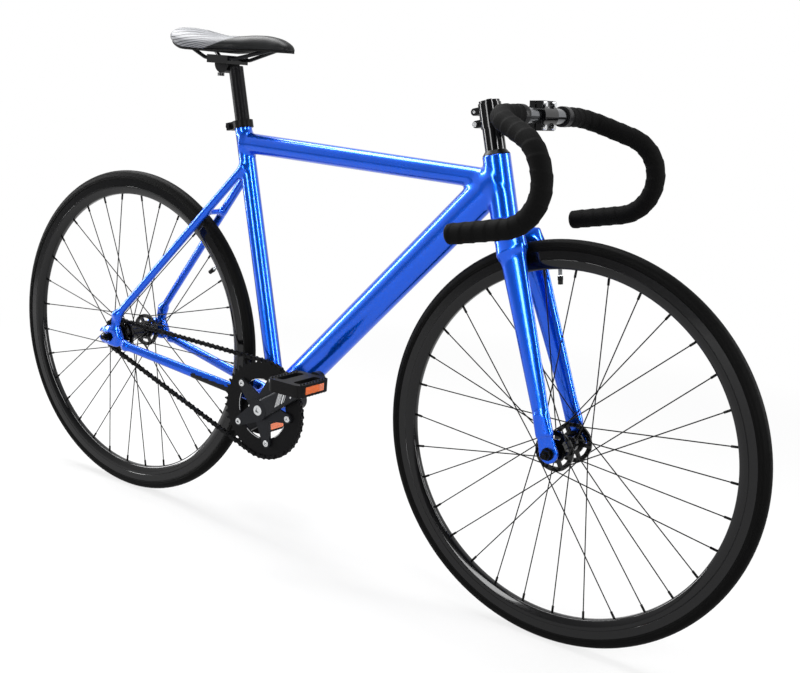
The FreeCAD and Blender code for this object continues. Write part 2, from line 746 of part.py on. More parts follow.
def seat_clamp():
    bottom = SEAT_TUBE_LENGTH - SEAT_CLAMP_HEIGHT + SEAT_CLAMP_LIP
    top = SEAT_TUBE_LENGTH + SEAT_CLAMP_LIP
    outer = SEAT_TUBE_RADIUS + SEAT_CLAMP_WALL
    middle = (bottom + top) / 2
    band = rod(seat(bottom), seat(top), outer)
    ear_back = outer + SEAT_CLAMP_EAR / 2
    ears = block(seat(middle, -ear_back), SEAT_AHEAD, SEAT_UP, SEAT_CLAMP_EAR + 2 * SEAT_CLAMP_WALL,
                 SEAT_CLAMP_EAR_WIDTH, SEAT_CLAMP_HEIGHT)
    band = band.fuse(ears).cut(rod(seat(bottom), seat(SEAT_TUBE_LENGTH), SEAT_TUBE_RADIUS))
    band = band.cut(rod(seat(SEAT_TUBE_LENGTH), seat(top), SEATPOST_RADIUS + PLAY))
    slit = block(seat(middle, -ear_back), SEAT_AHEAD, SEAT_UP, 2 * ear_back, SEAT_CLAMP_SLIT,
                 SEAT_CLAMP_HEIGHT)
    half = SEAT_CLAMP_EAR_WIDTH / 2
    centre = seat(middle, -ear_back - SEAT_CLAMP_WALL / 2)
    bolt = cross_rod(centre, -half, half, CLAMP_BOLT_RADIUS)
    head = cross_rod(centre, -half - CLAMP_BOLT_HEAD, -half, CLAMP_BOLT_HEAD_RADIUS)
    return [band.cut(slit).cut(bolt), bolt.fuse(head)]


def headset_races(outer, inner):
    lower = ring(steer(HEAD_BOTTOM), steer(HEAD_BOTTOM + HEAD_BEARING_HEIGHT), outer, inner)
    upper = ring(steer(HEAD_TOP - HEAD_BEARING_HEIGHT), steer(HEAD_TOP), outer, inner)
    return [lower, upper]


def bottom_bracket_cups():
    outer = SHELL_LENGTH / 2
    bore = SPINDLE_RADIUS + RUNNING_CLEARANCE
    cup = cross_rod(BRACKET, outer - CUP_DEPTH, outer, SHELL_BORE_RADIUS)
    cup = cup.fuse(cross_rod(BRACKET, outer, outer + CUP_LIP, CUP_LIP_RADIUS))
    return both_sides(cup.cut(cross_rod(BRACKET, outer - CUP_DEPTH, outer + CUP_LIP, bore)))


def axle_reach(face, plates):
    return face + plates + AXLE_WASHER_THICKNESS + AXLE_NUT_HEIGHT + AXLE_FREE_END


def axle_rod(centre, radius, face, plates):
    """Threaded axle whose free ends beyond the nuts are turned down a little."""
    reach = axle_reach(face, plates)
    threaded = reach - AXLE_FREE_END
    axle = cross_rod(centre, -threaded, threaded, radius)
    return axle.fuse(cross_rod(centre, -reach, reach, radius - AXLE_END_STEP))


def axle_fittings(centre, radius, face, plates, hub_ends):
    """Cones and locknuts inside the dropouts, washers and nuts outside, on both ends."""
    pieces = []
    for direction, hub_end in zip((-1, 1), hub_ends):
        cone_start = hub_end + PLAY
        locknut = face - LOCKNUT_THICKNESS
        washer = face + plates
        nut = washer + AXLE_WASHER_THICKNESS
        hole = cross_rod(centre, 0, direction * (nut + AXLE_NUT_HEIGHT), radius)
        sleeve = cross_rod(centre, direction * cone_start, direction * locknut, CONE_RADIUS)
        lock = cross_rod(centre, direction * locknut, direction * face, LOCKNUT_RADIUS)
        plate = cross_rod(centre, direction * washer, direction * nut, AXLE_WASHER_RADIUS)
        cap = hexagon(centre, direction * nut, direction * (nut + AXLE_NUT_HEIGHT), AXLE_NUT_FLATS)
        pieces.extend(piece.cut(hole) for piece in (sleeve, lock, plate, cap))
    return pieces


def roller_point(link):
    """Place of a chain roller, counted in links forward from the top of the chainring."""
    along = BRACKET - REAR_AXLE
    lean = math.degrees(chain_lean(STAY_LENGTH))
    slope = math.degrees(math.atan2(along.z, along.x))
    front_links = wrap_links(CHAINRING_TEETH, math.pi + 2 * math.radians(lean))
    run_links = run_length(STAY_LENGTH) / CHAIN_PITCH
    rear_links = wrap_links(COG_TEETH, math.pi - 2 * math.radians(lean))
    top = slope + 90 + lean
    bottom = slope - 90 - lean
    if link < front_links:
        return BRACKET + polar(pitch_radius(CHAINRING_TEETH), top - 360 * link / CHAINRING_TEETH)
    link -= front_links
    if link < run_links:
        start = BRACKET + polar(pitch_radius(CHAINRING_TEETH), bottom)
        return start + polar(link * CHAIN_PITCH, bottom - 90)
    link -= run_links
    if link < rear_links:
        return REAR_AXLE + polar(pitch_radius(COG_TEETH), bottom - 360 * link / COG_TEETH)
    link -= rear_links
    start = REAR_AXLE + polar(pitch_radius(COG_TEETH), top)
    return start + polar(link * CHAIN_PITCH, top - 90)


def link_plate(inner, outer):
    """Waisted chain plate about the link's middle, between two distances to the left."""
    half = CHAIN_PITCH / 2
    radius = LINK_PLATE_HEIGHT / 2
    ends = [cross_rod(vec(sign * half, 0, 0), inner, outer, radius) for sign in (-1, 1)]
    waist = block(side((inner + outer) / 2), vec(1, 0, 0), Z_AXIS, CHAIN_PITCH, outer - inner,
                  2 * LINK_WAIST_RADIUS)
    return ends[0].fuse(ends[1]).fuse(waist)


def chain_link(plate_inner, post_radius, post_length, bore):
    """A pair of plates joined by two pins or two rollers, about the link's middle."""
    plate = link_plate(plate_inner, plate_inner + LINK_PLATE_THICKNESS)
    link = plate.fuse(mirrored(plate))
    for sign in (-1, 1):
        centre = vec(sign * CHAIN_PITCH / 2, 0, 0)
        link = link.fuse(cross_rod(centre, -post_length / 2, post_length / 2, post_radius))
    if bore:
        for sign in (-1, 1):
            centre = vec(sign * CHAIN_PITCH / 2, 0, 0)
            link = link.cut(cross_rod(centre, -post_length, post_length, bore))
    return link


def inner_link():
    return chain_link(ROLLER_WIDTH / 2, ROLLER_RADIUS, ROLLER_WIDTH, PIN_RADIUS + LINK_CLEARANCE)


def outer_link():
    plate_inner = ROLLER_WIDTH / 2 + LINK_PLATE_THICKNESS + LINK_CLEARANCE
    return chain_link(plate_inner, PIN_RADIUS, PIN_LENGTH, 0)


def chain_links(link, first):
    """Every second link of the chain, laid between its two rollers."""
    links = []
    for index in range(first, CHAIN_LINKS, 2):
        start = roller_point(index)
        end = roller_point((index + 1) % CHAIN_LINKS)
        angle = math.degrees(math.atan2(end.z - start.z, end.x - start.x))
        copy = turned(link, vec(0, 0, 0), angle)
        copy.translate((start + end) * 0.5 - side(CHAIN_LINE))
        links.append(copy)
    return links


def sprocket(centre, teeth, roller):
    """Toothed disc whose gaps seat the chain, one of them under the given roller."""
    radius = pitch_radius(teeth)
    seat_radius = ROLLER_RADIUS + LINK_CLEARANCE
    tip_half_angle = math.degrees(TOOTH_TIP / 2 / (radius + TOOTH_HEIGHT))
    offset = roller - centre
    phase = math.degrees(math.atan2(offset.z, offset.x))
    step = 360 / teeth
    edges = []
    last = None
    for index in range(teeth):
        angle = phase + index * step
        middle = polar(radius, angle)
        arc = [middle + polar(seat_radius, angle + 180 + turn)
               for turn in (SEAT_ARC_ANGLE / 2, 0, -SEAT_ARC_ANGLE / 2)]
        tips = [polar(radius + TOOTH_HEIGHT, angle + sign * (step / 2 - tip_half_angle)) for sign in (-1, 1)]
        if last is not None:
            edges.append(Part.makeLine(last, tips[0]))
        else:
            first = tips[0]
        edges.append(Part.makeLine(tips[0], arc[0]))
        edges.append(Part.Arc(*arc).toShape())
        edges.append(Part.makeLine(arc[2], tips[1]))
        last = tips[1]
    edges.append(Part.makeLine(last, first))
    disc = Part.Face(Part.Wire(edges)).extrude(side(SPROCKET_THICKNESS))
    disc.translate(centre - side(CHAIN_LINE + SPROCKET_THICKNESS / 2))
    return disc


def chainring():
    disc = sprocket(BRACKET, CHAINRING_TEETH, roller_point(0))
    inner = -CHAIN_LINE + SPROCKET_THICKNESS / 2
    outer = -CHAIN_LINE - SPROCKET_THICKNESS / 2
    disc = disc.cut(cross_rod(BRACKET, outer, inner, CHAINRING_INNER_RADIUS))
    for angle in spider_angles():
        centre = BRACKET + polar(BOLT_CIRCLE_RADIUS, angle)
        disc = disc.fuse(cross_rod(centre, outer, inner, SPIDER_PAD_RADIUS))
    disc = disc.removeSplitter()
    for angle in spider_angles():
        disc = disc.cut(cross_rod(BRACKET + polar(BOLT_CIRCLE_RADIUS, angle), outer, inner, RING_BOLT_RADIUS))
    return disc


def cog_roller():
    """First chain roller that lies on the rear cog."""
    lean = chain_lean(STAY_LENGTH)
    reach = wrap_links(CHAINRING_TEETH, math.pi + 2 * lean) + run_length(STAY_LENGTH) / CHAIN_PITCH
    return roller_point(math.ceil(reach))


def rear_cog():
    disc = sprocket(REAR_AXLE, COG_TEETH, cog_roller())
    inner = -CHAIN_LINE + COG_CARRIER_INNER
    outer = -CHAIN_LINE - COG_CARRIER_OUTER
    cog = disc.fuse(cross_rod(REAR_AXLE, outer, inner, COG_CARRIER_RADIUS))
    return cog.cut(cross_rod(REAR_AXLE, outer, inner, COG_SEAT_RADIUS))


def rear_lockring():
    start = -CHAIN_LINE - COG_CARRIER_OUTER
    end = start - LOCKRING_THICKNESS
    lockring = cross_ring(REAR_AXLE, end, start, LOCKRING_RADIUS, LOCKRING_SEAT_RADIUS)
    for index in range(LOCKRING_NOTCHES):
        centre = REAR_AXLE + polar(LOCKRING_RADIUS, 360 * index / LOCKRING_NOTCHES)
        lockring = lockring.cut(cross_rod(centre, end, start, LOCKRING_NOTCH / 2))
    return lockring


def flange_windows(centre, start, end):
    """Curved openings through a hub flange."""
    outer = cross_rod(centre, start, end, FLANGE_WINDOW_OUTER_RADIUS)
    band = outer.cut(cross_rod(centre, start, end, FLANGE_WINDOW_INNER_RADIUS))
    gap = 360 / FLANGE_WINDOWS - FLANGE_WINDOW_ANGLE
    width = 2 * math.radians(gap / 2) * FLANGE_WINDOW_INNER_RADIUS
    for index in range(FLANGE_WINDOWS):
        angle = 360 * index / FLANGE_WINDOWS
        along = polar(1, angle)
        spoke_centre = centre + side((start + end) / 2) + along * (FLANGE_WINDOW_OUTER_RADIUS / 2)
        bar = block(spoke_centre, along, polar(1, angle + 90), FLANGE_WINDOW_OUTER_RADIUS + OVERRUN,
                    end - start, width)
        band = band.cut(bar)
    return band


def spoke_angles(direction, phase):
    """Hub hole angles of one flange; the two flanges lie half a step apart."""
    step = 360 / SPOKES_PER_FLANGE
    start = phase + (step / 2 if direction > 0 else 0)
    return [start + step * index for index in range(SPOKES_PER_FLANGE)]


def hub(centre, axle_radius, phase, right_end, drive):
    """Flanged hub shell with its two cartridge bearings."""
    left_end = HUB_END_SIDE
    shell = cross_rod(centre, -HUB_END_SIDE, left_end, HUB_BARREL_RADIUS)
    for direction in (-1, 1):
        inner = direction * (FLANGE_SIDE - FLANGE_WIDTH / 2)
        outer = direction * (FLANGE_SIDE + FLANGE_WIDTH / 2)
        flange = cross_rod(centre, min(inner, outer), max(inner, outer), FLANGE_RADIUS)
        flange = flange.cut(flange_windows(centre, min(inner, outer), max(inner, outer)))
        hole_radius = SPOKE_RADIUS + SPOKE_HOLE_CLEARANCE
        holes = [cross_rod(centre + polar(SPOKE_CIRCLE_RADIUS, angle), inner, outer, hole_radius)
                 for angle in spoke_angles(direction, phase)]
        flange = flange.cut(Part.makeCompound(holes))
        boss = cross_rod(centre, inner, direction * HUB_END_SIDE, HUB_END_RADIUS)
        shell = shell.fuse(flange).fuse(boss)
    if drive:
        shoulder = -CHAIN_LINE - COG_CARRIER_OUTER
        shell = shell.fuse(cross_rod(centre, shoulder, -HUB_END_SIDE, COG_SEAT_RADIUS))
        shell = shell.fuse(cross_rod(centre, -right_end, shoulder, LOCKRING_SEAT_RADIUS))
    shell = shell.cut(cross_rod(centre, -right_end, left_end, axle_radius + HUB_BORE_CLEARANCE))
    bearings = []
    for outer, inward in ((-right_end, 1), (left_end, -1)):
        inner = outer + inward * HUB_BEARING_WIDTH
        shell = shell.cut(cross_rod(centre, outer, inner, HUB_BEARING_RADIUS))
        bearings.append(cross_ring(centre, outer, inner, HUB_BEARING_RADIUS, axle_radius + RUNNING_CLEARANCE))
    return [shell] + bearings


def spoke_and_nipple(direction, outside):
    """One spoke of a wheel at the origin, from a hub hole straight ahead, and its nipple."""
    step = 360 / SPOKES_PER_FLANGE
    lead = SPOKE_CROSSINGS * step * (1 if outside else -1)
    half = FLANGE_WIDTH / 2
    start_side = FLANGE_SIDE + half + SPOKE_OUTER_STEP if outside else FLANGE_SIDE - half - SPOKE_INNER_STEP
    head_side = FLANGE_SIDE - half if outside else FLANGE_SIDE + half
    head_end = head_side - SPOKE_HEAD if outside else head_side + SPOKE_HEAD
    hole = polar(SPOKE_CIRCLE_RADIUS, 0)
    bend = hole + side(direction * start_side)
    target = polar(RIM_INNER_RADIUS, lead)
    along = (target - bend).normalize()
    tip = target + along * (RIM_NOSE_WALL + NIPPLE_SEAT_GAP + NIPPLE_HEAD)
    spoke = rod(bend, tip, SPOKE_RADIUS).fuse(Part.makeSphere(SPOKE_RADIUS, bend))
    spoke = spoke.fuse(cross_rod(hole, direction * start_side, direction * head_end, SPOKE_RADIUS))
    spoke = spoke.fuse(cross_rod(hole, direction * head_side, direction * head_end, SPOKE_HEAD_RADIUS))
    seat_point = target + along * (RIM_NOSE_WALL + NIPPLE_SEAT_GAP)
    nipple = rod(target - along * NIPPLE_LENGTH, seat_point, NIPPLE_RADIUS)
    nipple = nipple.fuse(rod(seat_point, tip, NIPPLE_HEAD_RADIUS))
    return [spoke, nipple.cut(rod(bend, tip, SPOKE_RADIUS))]


def spokes(centre, phase):
    """All spokes of a wheel: every second one of a flange leaves it on the outside."""
    pieces = []
    for direction in (-1, 1):
        pairs = [spoke_and_nipple(direction, outside) for outside in (True, False)]
        for index, angle in enumerate(spoke_angles(direction, phase)):
            for piece in pairs[index % 2]:
                copy = turned(piece, vec(0, 0, 0), angle)
                copy.translate(centre)
                pieces.append(copy)
    return pieces


def revolved(centre, edges):
    """Ring about a wheel's axle from a closed section, drawn straight up from the axle."""
    face = Part.Face(Part.Wire(edges))
    solid = face.revolve(vec(0, 0, 0), Y_AXIS, 360)
    solid.translate(centre)
    return solid


def section_lines(points):
    """Edges through points given as distance to the left and radius."""
    places = [vec(0, across, radius) for across, radius in points]
    return [Part.makeLine(start, end) for start, end in zip(places, places[1:])]


def section_arc(first, middle, last):
    return Part.Arc(*(vec(0, across, radius) for across, radius in (first, middle, last))).toShape()


def valve_angle(phase, step):
    return phase + step * 180 / SPOKES_PER_FLANGE


def rim_flank(half, shoulder, nose, low):
    """Curved rim side from the shoulder down to the nose, as three points."""
    reach = half - nose
    drop = shoulder - low
    knee = (nose + reach * math.sqrt(0.5), low + drop * (1 - math.sqrt(0.5)))
    return (half, shoulder), knee, (nose, low)


def other_side(points):
    return [(-across, radius) for across, radius in reversed(points)]


def rim(centre, phase, valve):
    half = RIM_WIDTH / 2
    hook = half - RIM_HOOK_WALL
    flank = rim_flank(half, RIM_SHOULDER_RADIUS, RIM_NOSE_WIDTH / 2, RIM_INNER_RADIUS)
    upper = [(half, RIM_SHOULDER_RADIUS), (half, RIM_RADIUS), (hook, RIM_RADIUS), (hook, RIM_SEAT_RADIUS)]
    edges = section_lines(upper + other_side(upper))
    edges += [section_arc(*other_side(flank)[::-1]), section_arc(*flank[::-1])]
    edges += section_lines([(-flank[2][0], flank[2][1]), flank[2]])
    inner = half - RIM_SIDE_WALL
    roof = RIM_SEAT_RADIUS - RIM_BED_WALL
    hollow_flank = rim_flank(inner, RIM_SHOULDER_RADIUS, RIM_NOSE_WIDTH / 2 - RIM_SIDE_WALL,
                             RIM_INNER_RADIUS + RIM_NOSE_WALL)
    ceiling = [(inner, RIM_SHOULDER_RADIUS), (inner, roof)]
    hollow = section_lines(ceiling + other_side(ceiling))
    hollow += [section_arc(*other_side(hollow_flank)[::-1]), section_arc(*hollow_flank[::-1])]
    hollow += section_lines([(-hollow_flank[2][0], hollow_flank[2][1]), hollow_flank[2]])
    solid = revolved(centre, edges).cut(revolved(centre, hollow))
    holes = []
    for index in range(2 * SPOKES_PER_FLANGE):
        along = polar(1, phase + index * 180 / SPOKES_PER_FLANGE)
        start = centre + along * (RIM_INNER_RADIUS - RIM_NOSE_WALL)
        holes.append(rod(start, start + along * (3 * RIM_NOSE_WALL), NIPPLE_RADIUS + NIPPLE_HOLE_CLEARANCE))
    along = polar(1, valve_angle(phase, valve))
    start = centre + along * (RIM_INNER_RADIUS - OVERRUN)
    holes.append(rod(start, centre + along * RIM_RADIUS, VALVE_RADIUS + VALVE_CLEARANCE))
    return solid.cut(Part.makeCompound(holes))


def tyre_centre_radius():
    return TYRE_RADIUS - TYRE_WIDTH / 2


def tube_ring(centre, inset):
    middle = TYRE_RADIUS - TYRE_CROWN_WALL - PLAY - TUBE_RADIUS
    return Part.makeTorus(middle, TUBE_RADIUS - inset, centre, Y_AXIS)


def inner_tube(centre, phase, valve):
    along = polar(1, valve_angle(phase, valve))
    tip = centre + along * (RIM_INNER_RADIUS - VALVE_LENGTH)
    stem = rod(tip, centre + along * tyre_centre_radius(), VALVE_RADIUS)
    cap = rod(tip, tip + along * VALVE_CAP_LENGTH, VALVE_CAP_RADIUS)
    bore = rod(tip, centre + along * tyre_centre_radius(), VALVE_BORE_RADIUS)
    valved = tube_ring(centre, 0).fuse(stem).fuse(cap)
    return valved.cut(tube_ring(centre, INNER_TUBE_WALL)).cut(bore)


def tyre(centre):
    outer = TYRE_WIDTH / 2
    bead = RIM_WIDTH / 2 - RIM_HOOK_WALL
    middle = tyre_centre_radius()
    foot = math.sqrt(outer ** 2 - (middle - RIM_RADIUS) ** 2)
    gap = TUBE_SEAT_WIDTH / 2
    edges = section_lines([(-foot, RIM_RADIUS), (-bead, RIM_RADIUS), (-bead, RIM_SEAT_RADIUS),
                           (-gap, RIM_SEAT_RADIUS), (-gap, middle), (gap, middle), (gap, RIM_SEAT_RADIUS),
                           (bead, RIM_SEAT_RADIUS), (bead, RIM_RADIUS), (foot, RIM_RADIUS)])
    edges.append(section_arc((foot, RIM_RADIUS), (outer, middle), (0, TYRE_RADIUS)))
    edges.append(section_arc((0, TYRE_RADIUS), (-outer, middle), (-foot, RIM_RADIUS)))
    return revolved(centre, edges).cut(tube_ring(centre, -PLAY))


def taper_bar():
    """Square tapered end of the bottom bracket spindle on the left side."""
    wires = []
    for distance, size in ((CRANK_BOSS_INNER, TAPER_ROOT_SIZE), (TAPER_END, TAPER_END_SIZE)):
        points = [BRACKET + side(distance) + polar(size / math.sqrt(2), 45 + 90 * index + CRANK_ANGLE)
                  for index in range(5)]
        wires.append(Part.makePolygon(points))
    return loft(*wires)


def crank_bolt_hole():
    return cross_rod(BRACKET, TAPER_END - CRANK_BOLT_DEPTH, TAPER_END, CRANK_BOLT_RADIUS)


def spindle():
    body = cross_rod(BRACKET, -CRANK_BOSS_INNER, CRANK_BOSS_INNER, SPINDLE_RADIUS)
    bar = taper_bar()
    hole = crank_bolt_hole()
    return body.fuse(bar).fuse(mirrored(bar)).cut(hole).cut(mirrored(hole))


def crank_arm():
    """Left crank pointing straight ahead."""
    ahead = vec(1, 0, 0)
    eye = BRACKET + ahead * CRANK_LENGTH
    boss = cross_rod(BRACKET, CRANK_BOSS_INNER, CRANK_BOSS_OUTER, CRANK_BOSS_RADIUS)
    root = rounded_outline(BRACKET + side((CRANK_ROOT_INNER + CRANK_ROOT_OUTER) / 2), Y_AXIS, Z_AXIS,
                           CRANK_ROOT_OUTER - CRANK_ROOT_INNER, CRANK_ROOT_HEIGHT, CRANK_EDGE_RADIUS)
    end = rounded_outline(eye + side((CRANK_END_INNER + CRANK_END_OUTER) / 2), Y_AXIS, Z_AXIS,
                          CRANK_END_OUTER - CRANK_END_INNER, CRANK_END_HEIGHT, CRANK_EDGE_RADIUS)
    arm = boss.fuse(loft(root, end))
    arm = arm.fuse(cross_rod(eye, CRANK_END_INNER, CRANK_END_OUTER, CRANK_EYE_RADIUS))
    arm = arm.cut(cross_rod(eye, CRANK_END_INNER, CRANK_END_OUTER, PEDAL_THREAD_RADIUS))
    return arm.cut(cross_rod(BRACKET, TAPER_END, CRANK_BOSS_OUTER, CRANK_BOLT_HEAD_RADIUS))


def left_crank():
    return turned(crank_arm(), BRACKET, CRANK_ANGLE + 180).cut(taper_bar())


def spider_angles():
    step = 360 / SPIDER_ARMS
    return [CRANK_ANGLE + step / 2 + step * index for index in range(SPIDER_ARMS)]


def spider():
    """Five arms to the chainring bolts, just outside the chainring."""
    inner = -CHAIN_LINE - SPROCKET_THICKNESS / 2
    outer = inner - SPIDER_THICKNESS
    star = cross_rod(BRACKET, outer, inner, CRANK_BOSS_RADIUS + SPIDER_PAD_RADIUS)
    for angle in spider_angles():
        along = polar(1, angle)
        across = polar(1, angle + 90)
        pad = BRACKET + along * BOLT_CIRCLE_RADIUS
        root = BRACKET + along * CRANK_BOSS_RADIUS
        corners = [root - across * (SPIDER_ROOT_WIDTH / 2), pad - across * SPIDER_PAD_RADIUS,
                   pad + across * SPIDER_PAD_RADIUS, root + across * (SPIDER_ROOT_WIDTH / 2)]
        web = Part.Face(Part.makePolygon(corners + corners[:1])).extrude(side(-SPIDER_THICKNESS))
        web.translate(side(inner))
        star = star.fuse(web).fuse(cross_rod(pad, outer, inner, SPIDER_PAD_RADIUS))
    return star


def right_crank():
    arm = turned(mirrored(crank_arm()), BRACKET, CRANK_ANGLE).fuse(spider())
    inner = -CHAIN_LINE - SPROCKET_THICKNESS / 2
    for angle in spider_angles():
        pad = BRACKET + polar(BOLT_CIRCLE_RADIUS, angle)
        arm = arm.cut(cross_rod(pad, inner - SPIDER_THICKNESS, inner, RING_BOLT_RADIUS))
    arm = arm.cut(cross_rod(BRACKET, -CRANK_BOSS_OUTER, -TAPER_END, CRANK_BOLT_HEAD_RADIUS))
    return arm.cut(mirrored(taper_bar()))


def chainring_bolts():
    ring_face = -CHAIN_LINE + SPROCKET_THICKNESS / 2
    spider_face = -CHAIN_LINE - SPROCKET_THICKNESS / 2 - SPIDER_THICKNESS
    bolts = []
    for angle in spider_angles():
        centre = BRACKET + polar(BOLT_CIRCLE_RADIUS, angle)
        bolt = cross_rod(centre, spider_face, ring_face, RING_BOLT_RADIUS)
        bolt = bolt.fuse(cross_rod(centre, spider_face - RING_BOLT_HEAD, spider_face, RING_BOLT_HEAD_RADIUS))
        nut = cross_rod(centre, ring_face, ring_face + RING_BOLT_HEAD, RING_BOLT_HEAD_RADIUS)
        bolts.append(bolt.fuse(nut))
    return bolts


def crank_bolts():
    head = cross_rod(BRACKET, TAPER_END, CRANK_BOSS_OUTER, CRANK_BOLT_HEAD_RADIUS)
    return both_sides(head.fuse(crank_bolt_hole()))


def pedal_centre(direction):
    """Pedal axis in the wheel plane; the left crank points the other way."""
    return BRACKET + polar(CRANK_LENGTH, CRANK_ANGLE if direction < 0 else CRANK_ANGLE + 180)


def pedal_start():
    return CRANK_END_OUTER + PEDAL_COLLAR + PLAY


def pedal_spindle(direction):
    centre = pedal_centre(direction)
    end = pedal_start() + PEDAL_WIDTH - PEDAL_CAP - PLAY
    spindle_rod = cross_rod(centre, CRANK_END_INNER, CRANK_END_OUTER, PEDAL_THREAD_RADIUS)
    collar_end = CRANK_END_OUTER + PEDAL_COLLAR
    spindle_rod = spindle_rod.fuse(cross_rod(centre, CRANK_END_OUTER, collar_end, PEDAL_COLLAR_RADIUS))
    spindle_rod = spindle_rod.fuse(cross_rod(centre, CRANK_END_OUTER, end, PEDAL_JOURNAL_RADIUS))
    return spindle_rod if direction > 0 else mirrored(spindle_rod)


def reflector(centre, sign):
    """Reflector block in the front or rear rail of a left pedal."""
    middle = centre + side(pedal_start() + PEDAL_WIDTH / 2)
    offset = vec(sign * (PEDAL_LENGTH / 2 - REFLECTOR_THICKNESS / 2), 0, 0)
    return block(middle + offset, vec(1, 0, 0), Z_AXIS, REFLECTOR_THICKNESS, REFLECTOR_LENGTH,
                 REFLECTOR_HEIGHT)


def pedal(direction):
    """Platform pedal body and its two reflectors."""
    centre = pedal_centre(direction)
    start = pedal_start()
    middle = centre + side(start + PEDAL_WIDTH / 2)
    base = middle - Z_AXIS * (PEDAL_HEIGHT / 2)
    ahead = vec(1, 0, 0)
    outline = rounded_outline(base, ahead, Y_AXIS, PEDAL_LENGTH, PEDAL_WIDTH, PEDAL_CORNER_RADIUS)
    body = Part.Face(outline).extrude(Z_AXIS * PEDAL_HEIGHT)
    window_length = PEDAL_LENGTH / 2 - PEDAL_RAIL - PEDAL_BARREL_RADIUS
    window_middle = PEDAL_BARREL_RADIUS + window_length / 2
    for sign in (-1, 1):
        opening = rounded_outline(base + ahead * (sign * window_middle), ahead, Y_AXIS, window_length,
                                  PEDAL_WIDTH - 2 * PEDAL_CHEEK, PEDAL_WINDOW_RADIUS)
        body = body.cut(Part.Face(opening).extrude(Z_AXIS * PEDAL_HEIGHT))
    reflectors = [reflector(centre, sign) for sign in (-1, 1)]
    body = body.cut(Part.makeCompound(reflectors))
    bore_end = start + PEDAL_WIDTH - PEDAL_CAP
    body = body.cut(cross_rod(centre, start, bore_end, PEDAL_JOURNAL_RADIUS + RUNNING_CLEARANCE))
    pieces = [body] + reflectors
    return pieces if direction > 0 else [mirrored(piece) for piece in pieces]


def seatpost():
    top = seat(SEATPOST_HEIGHT)
    bottom = seat(SEATPOST_HEIGHT - SEATPOST_LENGTH)
    plug = top - SEAT_UP * (2 * CRADLE_RADIUS)
    post = rod(bottom, top, SEATPOST_RADIUS).cut(rod(bottom, plug, SEATPOST_RADIUS - SEATPOST_WALL))
    post = post.fuse(cross_rod(cradle_centre(), -CRADLE_WIDTH / 2, CRADLE_WIDTH / 2, CRADLE_RADIUS))
    above = block(cradle_centre() + Z_AXIS * CRADLE_RADIUS, vec(1, 0, 0), Z_AXIS, 2 * CLAMP_LENGTH,
                  2 * CRADLE_WIDTH, 2 * CRADLE_RADIUS)
    return post.cut(above).cut(cradle_bolt_hole())


def clamp_centre():
    """Middle of the saddle clamp, where the rails pass."""
    return seat(SEATPOST_HEIGHT) + vec(-CLAMP_SETBACK, 0, CLAMP_RISE)


def cradle_centre():
    return clamp_centre() - Z_AXIS * CLAMP_LOWER_HEIGHT


def cradle_bolt_hole():
    centre = clamp_centre() - vec(CRADLE_BOLT_BACK, 0, 0)
    bottom = centre - Z_AXIS * (CLAMP_LOWER_HEIGHT + CRADLE_RADIUS)
    return rod(bottom, centre + Z_AXIS * CLAMP_UPPER_HEIGHT, CRADLE_BOLT_RADIUS)


def saddle_clamp():
    """Grooved lower and upper plates, and the bolt that draws them together."""
    centre = clamp_centre()
    ahead = vec(1, 0, 0)
    lower = block(centre - Z_AXIS * (CLAMP_LOWER_HEIGHT / 2), ahead, Z_AXIS, CLAMP_LENGTH, CLAMP_WIDTH,
                  CLAMP_LOWER_HEIGHT)
    upper = block(centre + Z_AXIS * (CLAMP_UPPER_HEIGHT / 2), ahead, Z_AXIS, CLAMP_LENGTH, CLAMP_WIDTH,
                  CLAMP_UPPER_HEIGHT)
    reach = ahead * CLAMP_LENGTH
    for across in (-RAIL_SIDE, RAIL_SIDE):
        groove = rod(centre + side(across) - reach, centre + side(across) + reach, RAIL_RADIUS)
        lower = lower.cut(groove)
        upper = upper.cut(groove)
    bolt = cradle_bolt_hole()
    foot = centre - vec(CRADLE_BOLT_BACK, 0, CLAMP_LOWER_HEIGHT + CRADLE_RADIUS)
    head = rod(foot - Z_AXIS * CRADLE_BOLT_HEAD, foot, CRADLE_BOLT_HEAD_RADIUS)
    return [lower.cut(bolt), upper.cut(bolt), bolt.fuse(head)]


def saddle_station(share):
    """Distance of a saddle station ahead of the clamp, tail at share zero."""
    return SADDLE_NOSE_AHEAD - SADDLE_LENGTH * (1 - share)


def saddle_base(share):
    """Height of the saddle's lower edge above the rails at a base share."""
    return SADDLE_BASE_RISE + SADDLE_REAR_RISE * share


def cover_section(station, width, crown, base):
    """Closed section of the padded cover: flat base, drawn-in sides and a crowned top."""
    centre = clamp_centre() + vec(saddle_station(station), 0, saddle_base(base))
    half = SADDLE_WIDTH / 2 * width
    height = SADDLE_CROWN * crown
    foot = half * COVER_BASE_SHARE
    shoulder = half * COVER_SHOULDER_SHARE
    left = [centre + side(foot), centre + vec(0, half, height * COVER_BULGE_HEIGHT_SHARE),
            centre + vec(0, shoulder, height * COVER_SHOULDER_HEIGHT_SHARE)]
    right = [point - side(2 * point.y) for point in left]
    top = centre + Z_AXIS * height
    edges = [Part.makeLine(right[0], left[0]), Part.Arc(*left).toShape(),
             Part.Arc(left[2], top, right[2]).toShape(), Part.Arc(*reversed(right)).toShape()]
    return Part.Wire(edges)


def saddle_cover():
    stations = zip(STATION_SHARES, WIDTH_SHARES, CROWN_SHARES, BASE_SHARES)
    return loft(*(cover_section(*shares) for shares in stations))


